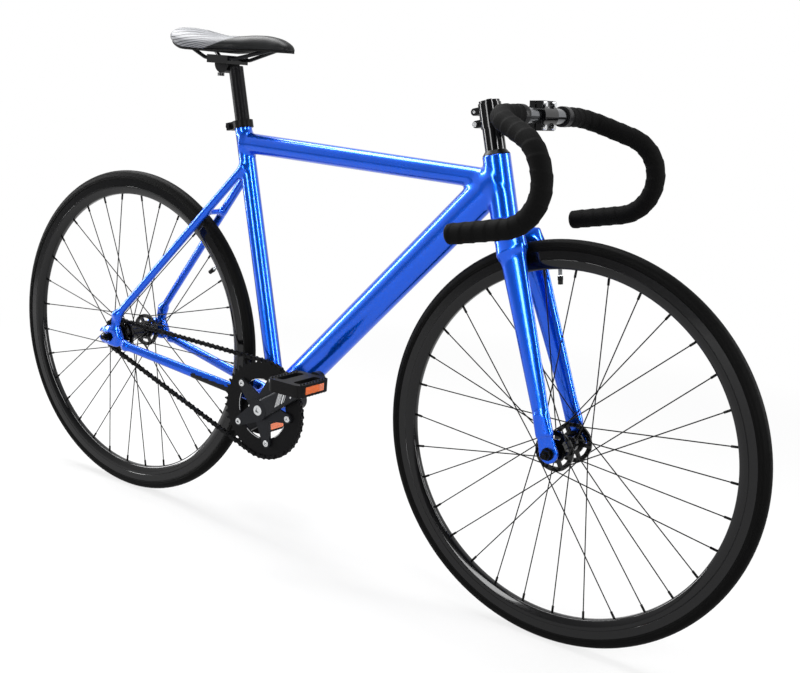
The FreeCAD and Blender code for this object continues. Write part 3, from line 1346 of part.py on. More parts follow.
def shell_section(station, width, base):
    """Flat section of the moulded base under the cover."""
    top = clamp_centre() + vec(saddle_station(station), 0, saddle_base(base))
    half = SADDLE_WIDTH / 2 * width * COVER_BASE_SHARE - SADDLE_SHELL_INSET
    bottom = top - Z_AXIS * SADDLE_SHELL_THICKNESS
    points = [top + side(half), top - side(half), bottom - side(half), bottom + side(half)]
    return Part.makePolygon(points + points[:1])


def saddle_shell():
    return loft(*(shell_section(*shares) for shares in zip(STATION_SHARES, WIDTH_SHARES, BASE_SHARES)))


def saddle_rails():
    """Two bent rods from sockets under the tail, through the clamp, to the nose."""
    centre = clamp_centre()
    half = RAIL_STRAIGHT / 2
    rise = SADDLE_BASE_RISE + SADDLE_REAR_RISE
    rear = centre + vec(-RAIL_REAR_BEHIND, RAIL_REAR_SIDE, rise)
    front = centre + vec(RAIL_FRONT_AHEAD, RAIL_FRONT_SIDE, rise)
    points = [rear, centre + vec(-half, RAIL_SIDE, 0), centre + vec(half, RAIL_SIDE, 0), front]
    rail = bent_rod(points, (RAIL_BEND_RADIUS, RAIL_BEND_RADIUS), RAIL_RADIUS)
    return [piece.cut(shell_and_above()) for piece in both_sides(rail)]


def shell_and_above():
    """Space of the saddle base and everything over it, which ends the rails at its underside."""
    wires = []
    for station, base in zip(STATION_SHARES, BASE_SHARES):
        low = clamp_centre() + vec(saddle_station(station), 0, saddle_base(base) - SADDLE_SHELL_THICKNESS)
        high = low + Z_AXIS * SADDLE_CROWN
        points = [low + side(SADDLE_WIDTH), low - side(SADDLE_WIDTH), high - side(SADDLE_WIDTH),
                  high + side(SADDLE_WIDTH)]
        wires.append(Part.makePolygon(points + points[:1]))
    return loft(*wires)


def steerer():
    return ring(steer(crown_bottom()), steer(STEM_TOP), STEERER_RADIUS, STEERER_BORE_RADIUS)


def crown_bottom():
    return CROWN_HEIGHT - CROWN_DEPTH


def fork_crown():
    top = Part.Wire(Part.makeCircle(CROWN_TOP_RADIUS, steer(CROWN_HEIGHT), STEER_UP))
    low_centre = steer(crown_bottom(), BLADE_TOP_AHEAD / 2)
    bottom = rounded_outline(low_centre, STEER_AHEAD, Y_AXIS, CROWN_LENGTH, CROWN_WIDTH, CROWN_CORNER_RADIUS)
    return loft(bottom, top).cut(rod(steer(crown_bottom()), steer(CROWN_HEIGHT), STEERER_RADIUS))


def blade_end():
    """Middle of the left blade's lower end."""
    share = BLADE_END_HEIGHT / crown_bottom()
    return steer(BLADE_END_HEIGHT, FORK_RAKE + (BLADE_TOP_AHEAD - FORK_RAKE) * share, BLADE_END_SIDE)


def fork_tip():
    """Forged left fork end with its axle slot open downwards."""
    down = (steer(0) - steer(crown_bottom())).normalize()
    tongue = steer(FORK_TIP_TONGUE_HEIGHT, FORK_RAKE + (BLADE_TOP_AHEAD - FORK_RAKE)
                   * FORK_TIP_TONGUE_HEIGHT / crown_bottom())
    plate = cross_rod(FRONT_AXLE, 0, FORK_TIP_THICKNESS, FORK_TIP_RADIUS)
    plate = plate.fuse(stadium(FRONT_AXLE, tongue, FORK_TIP_TONGUE_RADIUS, FORK_TIP_THICKNESS))
    plate = plate.removeSplitter()
    slot_end = FRONT_AXLE + down * (FORK_TIP_RADIUS + OVERRUN)
    slot = stadium(FRONT_AXLE, slot_end, FRONT_AXLE_RADIUS + AXLE_SLOT_CLEARANCE, FORK_TIP_THICKNESS)
    plate = plate.cut(slot)
    plate.translate(side(FRONT_FACE))
    return plate


def blade_loft(inset):
    top = oval(steer(crown_bottom(), BLADE_TOP_AHEAD, BLADE_TOP_SIDE), STEER_AHEAD, Y_AXIS,
               BLADE_TOP_LENGTH - 2 * inset, BLADE_TOP_WIDTH - 2 * inset)
    bottom = oval(blade_end(), STEER_AHEAD, Y_AXIS, BLADE_END_LENGTH - 2 * inset, BLADE_END_WIDTH - 2 * inset)
    return loft(bottom, top)


def fork_blades():
    """Straight tapered oval blades, closed near the end, and their fork ends, left and right."""
    tip = fork_tip()
    plug = rod(blade_end(), blade_end() + STEER_UP * BLADE_PLUG, BLADE_TOP_LENGTH)
    blade = blade_loft(0).cut(blade_loft(BLADE_WALL).cut(plug))
    return both_sides(blade.cut(tip)) + both_sides(tip)


def headset_covers():
    """Crown race under the head tube and the tapered cover on top of it."""
    race = ring(steer(CROWN_HEIGHT), steer(HEAD_BOTTOM), CROWN_RACE_RADIUS, STEERER_RADIUS)
    race = race.cut(ring(steer(HEAD_BOTTOM - PLAY), steer(HEAD_BOTTOM), CROWN_RACE_RADIUS,
                         HEAD_BEARING_SPLIT_RADIUS - RUNNING_CLEARANCE))
    cover = cone(steer(HEAD_TOP + PLAY), steer(SPACER_BOTTOM), TOP_COVER_RADIUS, SPACER_RADIUS)
    lip = rod(steer(HEAD_TOP), steer(HEAD_TOP + PLAY), HEAD_BEARING_SPLIT_RADIUS - RUNNING_CLEARANCE)
    cover = cover.fuse(lip).cut(rod(steer(HEAD_TOP), steer(SPACER_BOTTOM), STEERER_RADIUS))
    return [race, cover]


def headset_spacers():
    starts = [SPACER_BOTTOM + SPACER_HEIGHT * index for index in range(SPACER_COUNT)]
    return [ring(steer(start), steer(start + SPACER_HEIGHT), SPACER_RADIUS, STEERER_RADIUS)
            for start in starts]


def bar_clamp():
    """Whole bar clamp with its ears, before it is split into stem and face plate."""
    half = BAR_CLAMP_WIDTH / 2
    barrel = cross_rod(BAR_CENTRE, -half, half, BAR_CLAMP_RADIUS)
    ears = block(BAR_CENTRE, STEM_AHEAD, STEM_UP, BAR_CLAMP_EAR_LENGTH, BAR_CLAMP_WIDTH, BAR_CLAMP_EAR_HEIGHT)
    return barrel.fuse(ears).cut(cross_rod(BAR_CENTRE, -half, half, BAR_RADIUS))


def bar_clamp_half(direction):
    """Space of the front or rear half of the bar clamp, short of the split."""
    centre = BAR_CENTRE + STEM_AHEAD * (direction * (BAR_CLAMP_GAP / 2 + BAR_CLAMP_EAR_HEIGHT / 2))
    return block(centre, STEM_AHEAD, STEM_UP, BAR_CLAMP_EAR_HEIGHT, 2 * BAR_CLAMP_WIDTH,
                 2 * BAR_CLAMP_EAR_HEIGHT)


def face_bolt_centres():
    rise = (BAR_CLAMP_EAR_HEIGHT / 2 + BAR_RADIUS) / 2
    return [BAR_CENTRE + STEM_UP * (up * rise) + side(across * STEM_BOLT_SIDE)
            for up in (-1, 1) for across in (-1, 1)]


def face_bolts():
    front = STEM_AHEAD * (BAR_CLAMP_EAR_LENGTH / 2)
    bolts = []
    for centre in face_bolt_centres():
        shank = rod(centre - front, centre + front, STEM_BOLT_RADIUS)
        head = rod(centre + front, centre + front + STEM_AHEAD * STEM_BOLT_HEAD, STEM_BOLT_HEAD_RADIUS)
        bolts.append(shank.fuse(head))
    return bolts


def steerer_bolts():
    """Two pinch bolts across the slit at the back of the stem."""
    half = STEM_EAR_WIDTH / 2
    bolts = []
    for sign in (-1, 1):
        height = STEM_MIDDLE + sign * STEM_CLAMP_HEIGHT / 4
        centre = steer(height, -STEM_CLAMP_RADIUS - STEM_EAR / 2)
        shank = cross_rod(centre, -half, half, STEM_BOLT_RADIUS)
        head = cross_rod(centre, sign * half, sign * (half + STEM_BOLT_HEAD), STEM_BOLT_HEAD_RADIUS)
        bolts.append(shank.fuse(head))
    return bolts


def stem_ears():
    ears = []
    for sign in (-1, 1):
        height = STEM_MIDDLE + sign * STEM_CLAMP_HEIGHT / 4
        centre = steer(height, -STEM_CLAMP_RADIUS - STEM_EAR / 2)
        half = STEM_EAR_WIDTH / 2
        ears.append(cross_rod(centre, -half, half, STEM_EAR / 2))
        ears.append(block(centre + STEER_AHEAD * (STEM_EAR / 2), STEER_AHEAD, STEER_UP, STEM_EAR,
                          STEM_EAR_WIDTH, STEM_EAR))
    return ears


def stem(bolts):
    clamp = rod(steer(STEM_BOTTOM), steer(STEM_TOP), STEM_CLAMP_RADIUS)
    for ear in stem_ears():
        clamp = clamp.fuse(ear)
    neck = cone(steer(STEM_MIDDLE), BAR_CENTRE, STEM_NECK_RADIUS, STEM_NECK_END_RADIUS)
    rear_half = bar_clamp_half(-1)
    body = clamp.fuse(neck.common(rear_half.fuse(neck_space()))).fuse(bar_clamp().common(rear_half))
    body = body.cut(cross_rod(BAR_CENTRE, -BAR_CLAMP_WIDTH / 2, BAR_CLAMP_WIDTH / 2, BAR_RADIUS))
    body = body.cut(rod(steer(STEM_BOTTOM), steer(STEM_TOP), STEERER_RADIUS))
    slit_length = STEM_CLAMP_RADIUS + STEM_EAR
    slit = block(steer(STEM_MIDDLE, -slit_length / 2 - STEM_SLIT), STEER_AHEAD, STEER_UP, slit_length,
                 STEM_SLIT, 2 * STEM_CLAMP_HEIGHT)
    return body.cut(slit).cut(Part.makeCompound(bolts))


def neck_space():
    """Space between the steerer and the bar clamp's split, where the stem's neck lies."""
    end = BAR_CLAMP_GAP / 2
    length = STEM_LENGTH - end
    centre = BAR_CENTRE - STEM_AHEAD * (end + length / 2)
    return block(centre, STEM_AHEAD, STEM_UP, length, BAR_CLAMP_WIDTH, BAR_CLAMP_EAR_HEIGHT)


def stem_face_plate(bolts):
    return bar_clamp().common(bar_clamp_half(1)).cut(Part.makeCompound(bolts))


def top_cap():
    """Cap on the stem with its bolt, which reaches into the steerer."""
    top = STEM_TOP + TOP_CAP_THICKNESS
    cap = rod(steer(STEM_TOP), steer(top), TOP_CAP_RADIUS)
    shank = rod(steer(STEM_TOP - STEM_CLAMP_HEIGHT / 2), steer(top), STEM_BOLT_RADIUS)
    head = rod(steer(top), steer(top + TOP_CAP_BOLT_HEAD), TOP_CAP_BOLT_RADIUS)
    return [cap.cut(shank), shank.fuse(head)]


def bar_corners():
    """Corners of the left half of the handlebar's centre line."""
    offsets = [vec(0, 0, 0), vec(0, BAR_SHOULDER_SIDE, 0),
               vec(BAR_HOOK_AHEAD, BAR_HALF_WIDTH, -BAR_HOOK_DROP),
               vec(BAR_BEND_AHEAD, BAR_HALF_WIDTH, -BAR_BEND_DROP),
               vec(-BAR_END_BEHIND, BAR_HALF_WIDTH, -BAR_END_DROP)]
    return [BAR_CENTRE + offset for offset in offsets]


def bar_bends():
    return BAR_SHOULDER_BEND_RADIUS, BAR_HOOK_BEND_RADIUS, BAR_HOOK_BEND_RADIUS


def bar_half(radius):
    return bent_rod(bar_corners(), bar_bends(), radius)


def handlebar():
    tube = bar_half(BAR_RADIUS).cut(bar_half(BAR_RADIUS - BAR_WALL))
    return tube.fuse(mirrored(tube)).removeSplitter()


def bar_corners_path():
    return bent_path(bar_corners(), bar_bends())


def tape_run(edge, first, last, radius):
    """Hollow run of tape between two distances along one edge of the bar's path."""
    parameter = edge.getParameterByLength(first)
    point = edge.valueAt(parameter)
    along = edge.tangentAt(parameter)
    rings = [Part.Wire(Part.Circle(point, along, size).toShape()) for size in (radius, BAR_RADIUS)]
    face = Part.makeFace(rings, "Part::FaceMakerBullseye")
    if isinstance(edge.Curve, Part.Circle):
        centre = edge.Curve.Center
        turn = math.degrees((last - first) / edge.Curve.Radius)
        return face.revolve(centre, (point - centre).cross(along), turn)
    return face.extrude(along * (last - first))


def tape_band(edges, first, last, radius):
    """Runs of tape between two distances along the bar, over one or more edges of its path."""
    runs = []
    passed = 0
    for edge in edges:
        low = max(first - passed, 0)
        high = min(last - passed, edge.Length)
        if high - low > RUNNING_CLEARANCE:
            runs.append(tape_run(edge, low, high, radius))
        passed += edge.Length
    return runs


def bar_tape():
    """Left grip tape, wrap by wrap: each stands proud where its edge laps the wrap before it."""
    edges = bar_corners_path()
    total = sum(edge.Length for edge in edges)
    count = round((total - TAPE_START) / TAPE_PITCH)
    pitch = (total - TAPE_START) / count
    radius = BAR_RADIUS + TAPE_THICKNESS
    wraps = []
    for index in range(count):
        start = TAPE_START + pitch * index
        crest = start + pitch * TAPE_EDGE_SHARE
        runs = tape_band(edges, start, crest, radius + TAPE_LAP)
        runs += tape_band(edges, crest, start + pitch, radius)
        wraps.append(runs[0].multiFuse(runs[1:]).removeSplitter())
    return wraps


def bar_end_plug():
    corners = bar_corners()
    along = (corners[-1] - corners[-2]).normalize()
    cap = rod(corners[-1], corners[-1] + along * PLUG_THICKNESS, PLUG_RADIUS)
    stub = rod(corners[-1] - along * (2 * PLUG_RADIUS), corners[-1], BAR_RADIUS - BAR_WALL)
    return cap.fuse(stub)


def save_frame():
    ends = track_ends()
    save("head_tube", [head_tube()])
    save("top_tube", [top_tube()])
    save("down_tube", [down_tube()])
    save("seat_tube", [seat_tube()])
    save("bottom_bracket_shell", [bottom_bracket_shell()])
    save("chain_stays", [chain_stays(ends)])
    save("seat_stays", [seat_stays(ends)])
    save("track_ends", ends)
    save("track_end_linings", track_end_linings())
    save("seat_clamp", seat_clamp())
    save("headset_outer_races", headset_races(HEAD_BEARING_RADIUS, HEAD_BEARING_SPLIT_RADIUS))
    save("bottom_bracket_cups", bottom_bracket_cups())
    plates = TRACK_END_THICKNESS + LINING_THICKNESS
    save("rear_axle", [axle_rod(REAR_AXLE, REAR_AXLE_RADIUS, REAR_FACE, plates)])
    save("rear_axle_nuts", axle_fittings(REAR_AXLE, REAR_AXLE_RADIUS, REAR_FACE, plates,
                                         (HUB_DRIVE_END, HUB_END_SIDE)))
    save("chain_outer_links", chain_links(outer_link(), 0))
    save("chain_inner_links", chain_links(inner_link(), 1))


def save_seat():
    save("seatpost", [seatpost()])
    save("saddle_clamp", saddle_clamp())
    save("saddle_rails", saddle_rails())
    save("saddle_shell", [saddle_shell()])
    save("saddle_cover", [saddle_cover()])


def save_steering():
    bolts = face_bolts() + steerer_bolts()
    tape = bar_tape()
    save("steerer", [steerer()])
    save("fork_crown", [fork_crown()])
    save("fork_blades", fork_blades())
    save("headset_inner_races", headset_races(HEAD_BEARING_SPLIT_RADIUS - RUNNING_CLEARANCE, STEERER_RADIUS))
    save("headset_covers", headset_covers())
    save("headset_spacers", headset_spacers())
    save("stem", [stem(bolts)])
    save("stem_face_plate", [stem_face_plate(bolts)])
    save("stem_bolts", bolts)
    save("top_cap", top_cap())
    save("handlebar", [handlebar()])
    save("bar_tape_left", tape)
    save("bar_tape_right", [mirrored(wrap) for wrap in tape])
    save("bar_end_plugs", both_sides(bar_end_plug()))
    save("front_axle", [axle_rod(FRONT_AXLE, FRONT_AXLE_RADIUS, FRONT_FACE, FORK_TIP_THICKNESS)])
    save("front_axle_nuts", axle_fittings(FRONT_AXLE, FRONT_AXLE_RADIUS, FRONT_FACE, FORK_TIP_THICKNESS,
                                          (HUB_END_SIDE, HUB_END_SIDE)))


def save_wheel(name, centre, axle_radius, phase, valve, right_end):
    drive = right_end > HUB_END_SIDE
    save(name + "_hub", hub(centre, axle_radius, phase, right_end, drive))
    save(name + "_spokes", spokes(centre, phase))
    save(name + "_rim", [rim(centre, phase, valve)])
    save(name + "_inner_tube", [inner_tube(centre, phase, valve)])
    save(name + "_tyre", [tyre(centre)])


def save_drive():
    save("rear_cog", [rear_cog()])
    save("rear_lockring", [rear_lockring()])
    save("spindle", [spindle()])
    save("right_crank", [right_crank()])
    save("left_crank", [left_crank()])
    save("chainring", [chainring()])
    save("chainring_bolts", chainring_bolts())
    save("crank_bolts", crank_bolts())
    save("pedal_spindles", [pedal_spindle(direction) for direction in (-1, 1)])
    for name, direction in (("right", -1), ("left", 1)):
        body, front, rear = pedal(direction)
        save(name + "_pedal", [body])
        save(name + "_pedal_reflectors", [front, rear])


def main():
    os.makedirs("parts", exist_ok=True)
    save_frame()
    save_seat()
    save_steering()
    save_wheel("front", FRONT_AXLE, FRONT_AXLE_RADIUS, FRONT_SPOKE_PHASE, FRONT_VALVE_STEP, HUB_END_SIDE)
    save_wheel("rear", REAR_AXLE, REAR_AXLE_RADIUS, REAR_SPOKE_PHASE, REAR_VALVE_STEP, HUB_DRIVE_END)
    save_drive()


main()
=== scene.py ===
# %% [markdown]
# # A fixed gear bike, dressed over its CAD frame
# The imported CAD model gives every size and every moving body. This lesson keeps those sizes and adds
# what the eye needs: paint, rubber, wrapped tape, a padded saddle and softened edges.
# Everything is in metres, in the CAD model's own frame, so no piece is fitted by hand.

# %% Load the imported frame
import json
import math

import bmesh
import bpy
import numpy
from mathutils import Matrix, Vector


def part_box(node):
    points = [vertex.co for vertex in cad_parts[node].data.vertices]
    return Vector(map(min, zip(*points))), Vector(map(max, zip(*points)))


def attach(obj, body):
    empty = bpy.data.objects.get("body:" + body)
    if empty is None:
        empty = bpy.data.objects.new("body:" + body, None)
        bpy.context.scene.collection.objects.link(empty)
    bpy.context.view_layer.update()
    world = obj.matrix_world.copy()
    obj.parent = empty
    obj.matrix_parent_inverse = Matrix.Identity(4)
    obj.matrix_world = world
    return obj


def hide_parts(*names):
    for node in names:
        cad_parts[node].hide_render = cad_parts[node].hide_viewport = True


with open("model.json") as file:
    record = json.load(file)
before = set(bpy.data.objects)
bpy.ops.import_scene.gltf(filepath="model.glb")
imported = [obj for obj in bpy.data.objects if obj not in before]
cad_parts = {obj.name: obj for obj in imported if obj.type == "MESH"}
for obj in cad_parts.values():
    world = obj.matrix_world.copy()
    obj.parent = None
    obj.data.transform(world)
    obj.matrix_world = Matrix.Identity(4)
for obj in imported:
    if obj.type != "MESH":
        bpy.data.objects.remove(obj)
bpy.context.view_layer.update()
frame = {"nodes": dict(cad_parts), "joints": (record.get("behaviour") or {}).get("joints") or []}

MM = 0.001

# %% [markdown]
# ## Where things are
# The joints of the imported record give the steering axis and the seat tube's axis, and the boxes of the
# rims and the bracket shell give the three axles. Two small functions then place a point by its
# distances in millimetres along and across an axis, as a frame builder measures them.

# %% Axles, steering axis and seat axis
SIDE = numpy.array((0.0, 1.0, 0.0))
JOINTS = {row["name"]: row for row in frame["joints"]}


def middle(node):
    """Centre of a CAD node's box."""
    low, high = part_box(node)
    return numpy.array((low + high) / 2)


def ahead_of(up):
    """Level-turned partner of an up axis in the bike's middle plane, pointing forward."""
    return numpy.array((up[2], 0.0, -up[0]))


REAR_AXLE = middle("rear_rim")
FRONT_AXLE = middle("front_rim")
BRACKET = middle("bottom_bracket_shell")
STEER_FOOT = numpy.array(JOINTS["steering"]["pos_m"])
STEER_UP = numpy.array(JOINTS["steering"]["axis"])
SEAT_UP = numpy.array(JOINTS["seat_height"]["axis"])


def steer(height, ahead=0.0, side=0.0):
    """Point at a height along the steering axis, in millimetres from its foot."""
    return STEER_FOOT + (STEER_UP * height + ahead_of(STEER_UP) * ahead + SIDE * side) * MM


def seat(height, ahead=0.0, side=0.0):
    """Point at a height along the seat tube, in millimetres from the bracket."""
    return BRACKET + (SEAT_UP * height + ahead_of(SEAT_UP) * ahead + SIDE * side) * MM


def shift(x, y, z):
    """Offset in millimetres along the bike, to its left and up."""
    return numpy.array((x, y, z)) * MM


print("rear axle", REAR_AXLE, "front axle", FRONT_AXLE, "bracket", BRACKET)

# %% [markdown]
# ## Camera
# The photograph was taken from the right front corner, a little above the bars. The place and lens were
# worked out from points on the two wheels and the frame, so the render has the same perspective.

# %% Camera at the photograph's view
EYE = (1.2501, -1.6164, 0.8883)
LOOK_RIGHT = (0.81853305, 0.56921123, 0.07747396)
LOOK_UP = (-0.18702485, 0.13653589, 0.97282047)
LOOK_BACK = (0.54316236, -0.81077526, 0.21821578)
LENS = 51.18
SENSOR_WIDTH = 36.0


def shown(name, data):
    """New object of a mesh, a light or a camera, at the origin."""
    piece = bpy.data.objects.new(name, data)
    bpy.context.collection.objects.link(piece)
    return piece


camera = shown("camera", bpy.data.cameras.new("camera"))
camera.data.lens = LENS
camera.data.sensor_width = SENSOR_WIDTH
camera.matrix_world = Matrix.Translation(EYE) @ Matrix((LOOK_RIGHT, LOOK_UP, LOOK_BACK)).transposed().to_4x4()
bpy.context.scene.camera = camera
bpy.context.scene.view_settings.view_transform = "Standard"
print("camera at", EYE)

# %% [markdown]
# ## Nodes and colours
# A finish is a small tree of shader nodes. One function adds a node with its settings, and its inputs are
# numbers, colours or other nodes, which pass on their first result in use. Colours are written as the sRGB
# hex codes of a paint chart, and one function turns them to the linear values that the shader works with.

# %% Helpers for finishes
FINISHES = {}
MIX_A = 6
MIX_B = 7
LOW_SHEEN = 0.07
GRAIN_SPAN = (0.3, 0.7)


def colour(code):
    """Linear colour of an sRGB hex code."""
    shares = [int(code[place:place + 2], 16) / 255 for place in (1, 3, 5)]
    linear = [share / 12.92 if share <= 0.04045 else ((share + 0.055) / 1.055) ** 2.4 for share in shares]
    return (*linear, 1.0)


def link(tree, node, inputs):
    """Sets a node's inputs to values and hex codes, or links them to other nodes and their results."""
    for name, value in inputs.items():
        if isinstance(value, bpy.types.Node):
            value = next(result for result in value.outputs if result.enabled)
        if isinstance(value, bpy.types.NodeSocket):
            tree.links.new(value, node.inputs[name])
        else:
            node.inputs[name].default_value = colour(value) if isinstance(value, str) else value


def add(tree, kind, inputs=None, **settings):
    """One shader node with its settings and its inputs."""
    made = tree.nodes.new("ShaderNode" + kind)
    for name, value in settings.items():
        setattr(made, name, value)
    link(tree, made, inputs or {})
    return made


def per_mm(size):
    """Texture scale at which one cell of a pattern has this size in millimetres."""
    return 1 / (size * MM)


def blank(name, **sockets):
    """New finish with one shader, whose constant sockets are set by name."""
    material = bpy.data.materials.new(name)
    material.use_nodes = True
    tree = material.node_tree
    tree.nodes.clear()
    shader = add(tree, "BsdfPrincipled", {key.replace("_", " "): value for key, value in sockets.items()})
    add(tree, "OutputMaterial", {"Surface": shader})
    place = add(tree, "TexCoord").outputs["Object"]
    FINISHES[name] = material
    return tree, shader, place


def grained(name, tones, grain, gloss, relief, **sockets):
    """Finish with one fine grain in millimetres that moves its tone, its roughness and its relief."""
    tree, shader, place = blank(name, **{"Specular_IOR_Level": LOW_SHEEN, **sockets})
    noise = add(tree, "TexNoise", {"Vector": place, "Scale": per_mm(grain), "Detail": 3.0})
    spread = add(tree, "MapRange", {"Value": noise, "From Min": GRAIN_SPAN[0], "From Max": GRAIN_SPAN[1]})
    tone = add(tree, "Mix", {0: spread, MIX_A: tones[0], MIX_B: tones[1]}, data_type="RGBA")
    rough = add(tree, "MapRange", {"Value": spread, "To Min": gloss[0], "To Max": gloss[1]})
    bump = add(tree, "Bump", {"Height": noise, "Distance": relief * MM})
    link(tree, shader, {"Base Color": tone, "Roughness": rough, "Normal": bump})
    return tree, shader, place


print("finish helpers ready")

# %% [markdown]
# ## Metals, plastics and rubber
# Most hardware on the bike is aluminium or steel with one even finish, so one recipe serves: a fine
# grain that moves tone, gloss and relief together. What differs is the size of the grain, how much light
# the surface throws back, and whether a clear layer lies over it. A separate recipe for each would hide
# how alike they are.

# %% Even finishes
# Black anodised aluminium, blasted first: a soft grey sheen without clear reflections.
grained("matt_black_anodised_aluminium", ("#060607", "#0d0d0e"), 0.5, (0.34, 0.46), 0.01, Metallic=0.35)
# Black anodised aluminium, polished first: deep black with sharp white streaks of the lights.
grained("gloss_black_anodised_aluminium", ("#030304", "#070708"), 0.8, (0.10, 0.16), 0.002,
        Metallic=0.2, Specular_IOR_Level=0.22, Coat_Weight=0.2, Coat_Roughness=0.03)
# Bare bar beside the stem, polished and lightly smoked: a grey mirror.
grained("polished_dark_aluminium", ("#5d5f62", "#75777a"), 0.8, (0.12, 0.20), 0.002, Metallic=1.0)
# Forged aluminium with a dark satin paint: broad soft highlights on its sculpted faces.
grained("satin_graphite_forging", ("#17181a", "#232427"), 0.6, (0.32, 0.42), 0.008, Metallic=0.5)
# Zinc plated steel of bolt heads: a bright, slightly milky mirror.
grained("bright_zinc_plated_steel", ("#b9bbbd", "#d3d4d5"), 0.7, (0.20, 0.30), 0.004, Metallic=1.0)
# Ground bearing steel: a darker, cleaner mirror than zinc.
grained("ground_bearing_steel", ("#8d8f92", "#a5a7a9"), 0.4, (0.14, 0.22), 0.002, Metallic=1.0)
# Black oxide on steel axles and nuts: nearly black with an oily sheen.
grained("black_oxide_steel", ("#0c0c0c", "#161616"), 0.5, (0.28, 0.40), 0.006, Metallic=0.8)
# Blackened chain plates: a dull black that is rubbed brighter where the links slide.
grained("blackened_chain_steel", ("#0a0a0b", "#1b1b1c"), 1.6, (0.26, 0.42), 0.008, Metallic=0.75)
# Injection moulded nylon: a fine spark-eroded grain, no clear reflection.
grained("moulded_black_nylon", ("#060606", "#0d0d0e"), 0.45, (0.40, 0.54), 0.02)
# Painted steel saddle rails: gloss black paint with slight orange peel.
grained("gloss_black_rail_paint", ("#08080a", "#0f0f11"), 1.5, (0.16, 0.24), 0.01, Coat_Weight=0.15)
# Vinyl finishing band: soft plastic with a low shine.
grained("soft_black_vinyl", ("#111112", "#1a1a1b"), 0.6, (0.30, 0.42), 0.01)
# Butyl rubber of tubes and caps: dull and slightly dusty.
grained("butyl_rubber", ("#121212", "#1e1e1e"), 0.8, (0.55, 0.70), 0.01)
print(len(FINISHES), "even finishes")

# %% [markdown]
# ## Metallic paint
# The frame is sprayed with a blue base that holds aluminium flakes and then with clear lacquer. The
# flakes tilt a little, so the colour sparkles and brightens where a tube faces the light, while the
# lacquer over them stays mirror smooth. The flakes tilt only the base layer's normal, and the coat keeps
# the true surface, which is how the two layers really lie.

# %% Blue metallic lacquer
# Real flakes are about 0.05 mm; they are drawn ten times coarser, so that they show in the render.
FLAKE = 0.5
FLAKE_RELIEF = 0.02
CLOUD = 40.0
CLOUD_SHARE = 0.3
tree, shader, place = blank("blue_metallic_lacquer", Metallic=0.85, Specular_IOR_Level=0.04, Coat_Weight=0.6,
                            Coat_Roughness=0.07, Coat_IOR=1.5)
flakes = add(tree, "TexVoronoi", {"Vector": place, "Scale": per_mm(FLAKE)})
cloud = add(tree, "TexNoise", {"Vector": place, "Scale": per_mm(CLOUD), "Detail": 2.0}).outputs["Color"]
share = add(tree, "Mix", {0: CLOUD_SHARE, MIX_A: flakes.outputs["Color"], MIX_B: cloud}, data_type="RGBA")
tone = add(tree, "Mix", {0: share, MIX_A: "#0241b2", MIX_B: "#065ade"}, data_type="RGBA")
rough = add(tree, "MapRange", {"Value": share, "To Min": 0.20, "To Max": 0.28})
tilt = add(tree, "Bump", {"Height": flakes, "Distance": FLAKE_RELIEF * MM, "Strength": 0.35})
link(tree, shader, {"Base Color": tone, "Roughness": rough, "Normal": tilt})
print("paint flakes of", FLAKE, "mm")

# %% [markdown]
# ## Filled joints
# The tubes are welded, and the welds are filled and sanded before painting, so one tube flows into the
# next. A boolean union would leave hard creases, and hand-made patches take long. Instead each tube is
# described by its distance function, which says how far a point is from its skin. Blending the distances
# where two tubes come near rounds every joint by itself. A coarse mesh of the same tubes is remeshed into
# one skin, and its points are then moved onto the blended surface.

# %% Distance functions of tubes and plates
TINY = 1e-12


def unit(ways):
    """Ways of length one, from one row or many."""
    return ways / numpy.maximum(numpy.linalg.norm(ways, axis=-1, keepdims=True), TINY)


def rounded(around, along, rounding):
    """Distance to a shape with two bounds, whose edge is rounded."""
    outside = numpy.hypot(numpy.maximum(around, 0), numpy.maximum(along, 0))
    return outside + numpy.minimum(numpy.maximum(around, along), 0) - rounding


def tube_gap(points, start, end, first, last, rounding):
    """Distance to a closed tube; first and last are its half width and half depth at the two ends."""
    length = numpy.linalg.norm(end - start)
    axis = unit(end - start)
    deep = unit(numpy.cross(axis, SIDE))
    wide = numpy.cross(deep, axis)
    offset = points - start
    run = offset @ axis
    share = numpy.clip(run / length, 0, 1)[:, None]
    half = numpy.array(first) * MM * (1 - share) + numpy.array(last) * MM * share - rounding
    across = numpy.stack((offset @ wide, offset @ deep), axis=1)
    level = numpy.linalg.norm(across / half, axis=1)
    slope = numpy.maximum(numpy.linalg.norm(across / half ** 2, axis=1), 1e-6)
    around = numpy.where(level > 1e-3, level * (level - 1) / slope, -half.min(axis=1))
    ends = numpy.abs(run - length / 2) - length / 2 + rounding
    return rounded(around, ends, rounding)


def flat_gap(points, start, end, first, last):
    """Distance in the bike's middle plane to a band whose radius goes from first to last."""
    flat = points[:, ::2] - start[::2]
    run = (end - start)[::2]
    share = numpy.clip(flat @ run / (run @ run), 0, 1)
    return numpy.linalg.norm(flat - share[:, None] * run, axis=1) - (first + (last - first) * share) * MM


def plate_gap(points, start, end, first, last, inner, outer, rounding):
    """Distance to a band-shaped plate between two distances from the middle plane, on both sides."""
    around = flat_gap(points, start, end, first, last) + rounding
    aside = numpy.abs(numpy.abs(points[:, 1]) - (inner + outer) / 2 * MM)
    across = aside - (outer - inner) / 2 * MM + rounding
    return rounded(around, across, rounding)


def melt(gaps, blend):
    """Smooth union of distances: where two are within the blend, a fillet fills the corner."""
    total = gaps[0]
    for gap in gaps[1:]:
        share = numpy.clip(0.5 + 0.5 * (gap - total) / blend, 0, 1)
        total = gap * (1 - share) + total * share - blend * share * (1 - share)
    return total


print("distance functions ready")

